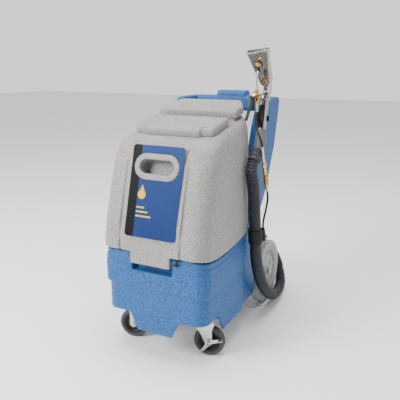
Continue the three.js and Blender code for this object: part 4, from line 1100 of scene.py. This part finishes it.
def gauge():
    """Round gauge with a plated bezel, a white dial with plain graduations, and a needle."""
    case = [(0, 0), (26, 0), (28, 1), (28.6, 4), (28.6, 19), (29, 20), (29, 22.4), (28, 23.6), (26.6, 24),
            (26, 23), (26, 20), (0, 20)]
    part(facing_back("gauge_case", case, DIAL_Z, 64), "base", "chrome", "pressure_gauge")
    dial = facing_back("gauge_dial", [(0, 20.2), (25.6, 20.2), (25.6, 20.8), (0, 20.8)], DIAL_Z, 64)
    part(dial, "base", "white_plastic")
    marks = []
    for i in range(25):
        a = math.radians(225 - i * 270 / 24)
        inner, side = (21, 0.45) if i % 4 else (18, 0.7)
        u, v = math.cos(a), math.sin(a)
        tick = [(DIAL_X - (r * u - k * v), DIAL_Z + (r * v + k * u))
                for r, k in ((inner, -side), (24, -side), (24, side), (inner, side))]
        marks.append(prism("y", tick, PANEL_FACE + 20.6, PANEL_FACE + 21.1))
    needle = [(DIAL_X + u, DIAL_Z + v) for u, v in ((-1, -4), (1, -4), (0.3, 18), (-0.3, 18))]
    marks.append(prism("y", needle, PANEL_FACE + 21.2, PANEL_FACE + 21.7))
    marks.append(facing_back("boss", [(0, 20.8), (3, 20.8), (2.6, 22.4), (0, 22.6)], DIAL_Z, 24))
    part(merged("gauge_marks", marks), "base", "black_plastic")


def knob():
    """Adjusting knob with flutes round its skirt."""
    profile = [(0, 0), (12, 0), (14.4, 2), (15, 4), (15, 19), (14, 22), (12, 23), (0, 23)]

    def flutes(p):
        dx, dz = p[:, 0] - DIAL_X, p[:, 2] - KNOB_Z
        r = np.hypot(dx, dz)
        dent = np.where(r > 14.2, 0.9 * (0.5 - 0.5 * np.cos(12 * np.arctan2(dz, dx))), 0)
        kept = np.where(r > 0, (r - dent) / np.maximum(r, 1e-9), 1)
        p[:, 0] = DIAL_X + dx * kept
        p[:, 2] = KNOB_Z + dz * kept
        return p

    turned = reshape(facing_back("adjusting_knob", profile, KNOB_Z, 72), flutes)
    part(turned, "pressure_knob", "black_plastic", "pressure_knob")


def panel_screws():
    profile = [(0, 0), (4, 0), (4, 0.8), (2.6, 2.2), (0, 2.5)]
    heads = [lathe("screw", profile, (x, 163.4, z), (x, 164.4, z), 20)
             for x in (-121, 121) for z in (379, 471)]
    part(merged("panel_screws", heads), "base", "zinc")


gauge()
knob()
panel_screws()

# ---- materials of the CAD nodes that stay
for entry in frame["record"]["subparts"]:
    if entry["material_slot"] in MATERIAL:
        dress(frame["nodes"][entry["node"]], MATERIAL[entry["material_slot"]])
dress(frame["nodes"]["tank_latch"], DARK)

# ---- floor and light
bpy.ops.mesh.primitive_plane_add(size=30, location=(0, 0, 0))
floor = bpy.context.object
floor.name = "floor"
floor.data.materials.append(shader("floor", 0.9, color=grey(0.97)).owner)

world = bpy.data.worlds.new("studio")
bpy.context.scene.world = world
sky = Look(world)
behind_to_front = sky.scaled(sky.axes(sky.place("Generated"))["Y"], -1, 1, "From")
walls = sky.ramp(behind_to_front, [
    (0.0, (0.22, 0.22, 0.23)), (0.22, (0.10, 0.10, 0.11)), (0.34, grey(0.75)), (0.5, grey(1))])
sky.links.new(walls, sky.nodes["Background"].inputs["Color"])
sky.nodes["Background"].inputs["Strength"].default_value = 1.25


def area_light(name, where, size, power):
    """A round lamp aimed at the middle of the machine."""
    light = bpy.data.lights.new(name, "AREA")
    light.shape = "DISK"
    light.size = size
    light.energy = power
    lamp = linked(name, light)
    lamp.location = where
    lamp.rotation_euler = (Vector((0, 0, 0.5)) - lamp.location).to_track_quat("-Z", "Y").to_euler()


area_light("key", (-1.9, -3.2, 2.6), 2.0, 240)
area_light("top", (0.0, -0.4, 4.2), 2.4, 150)
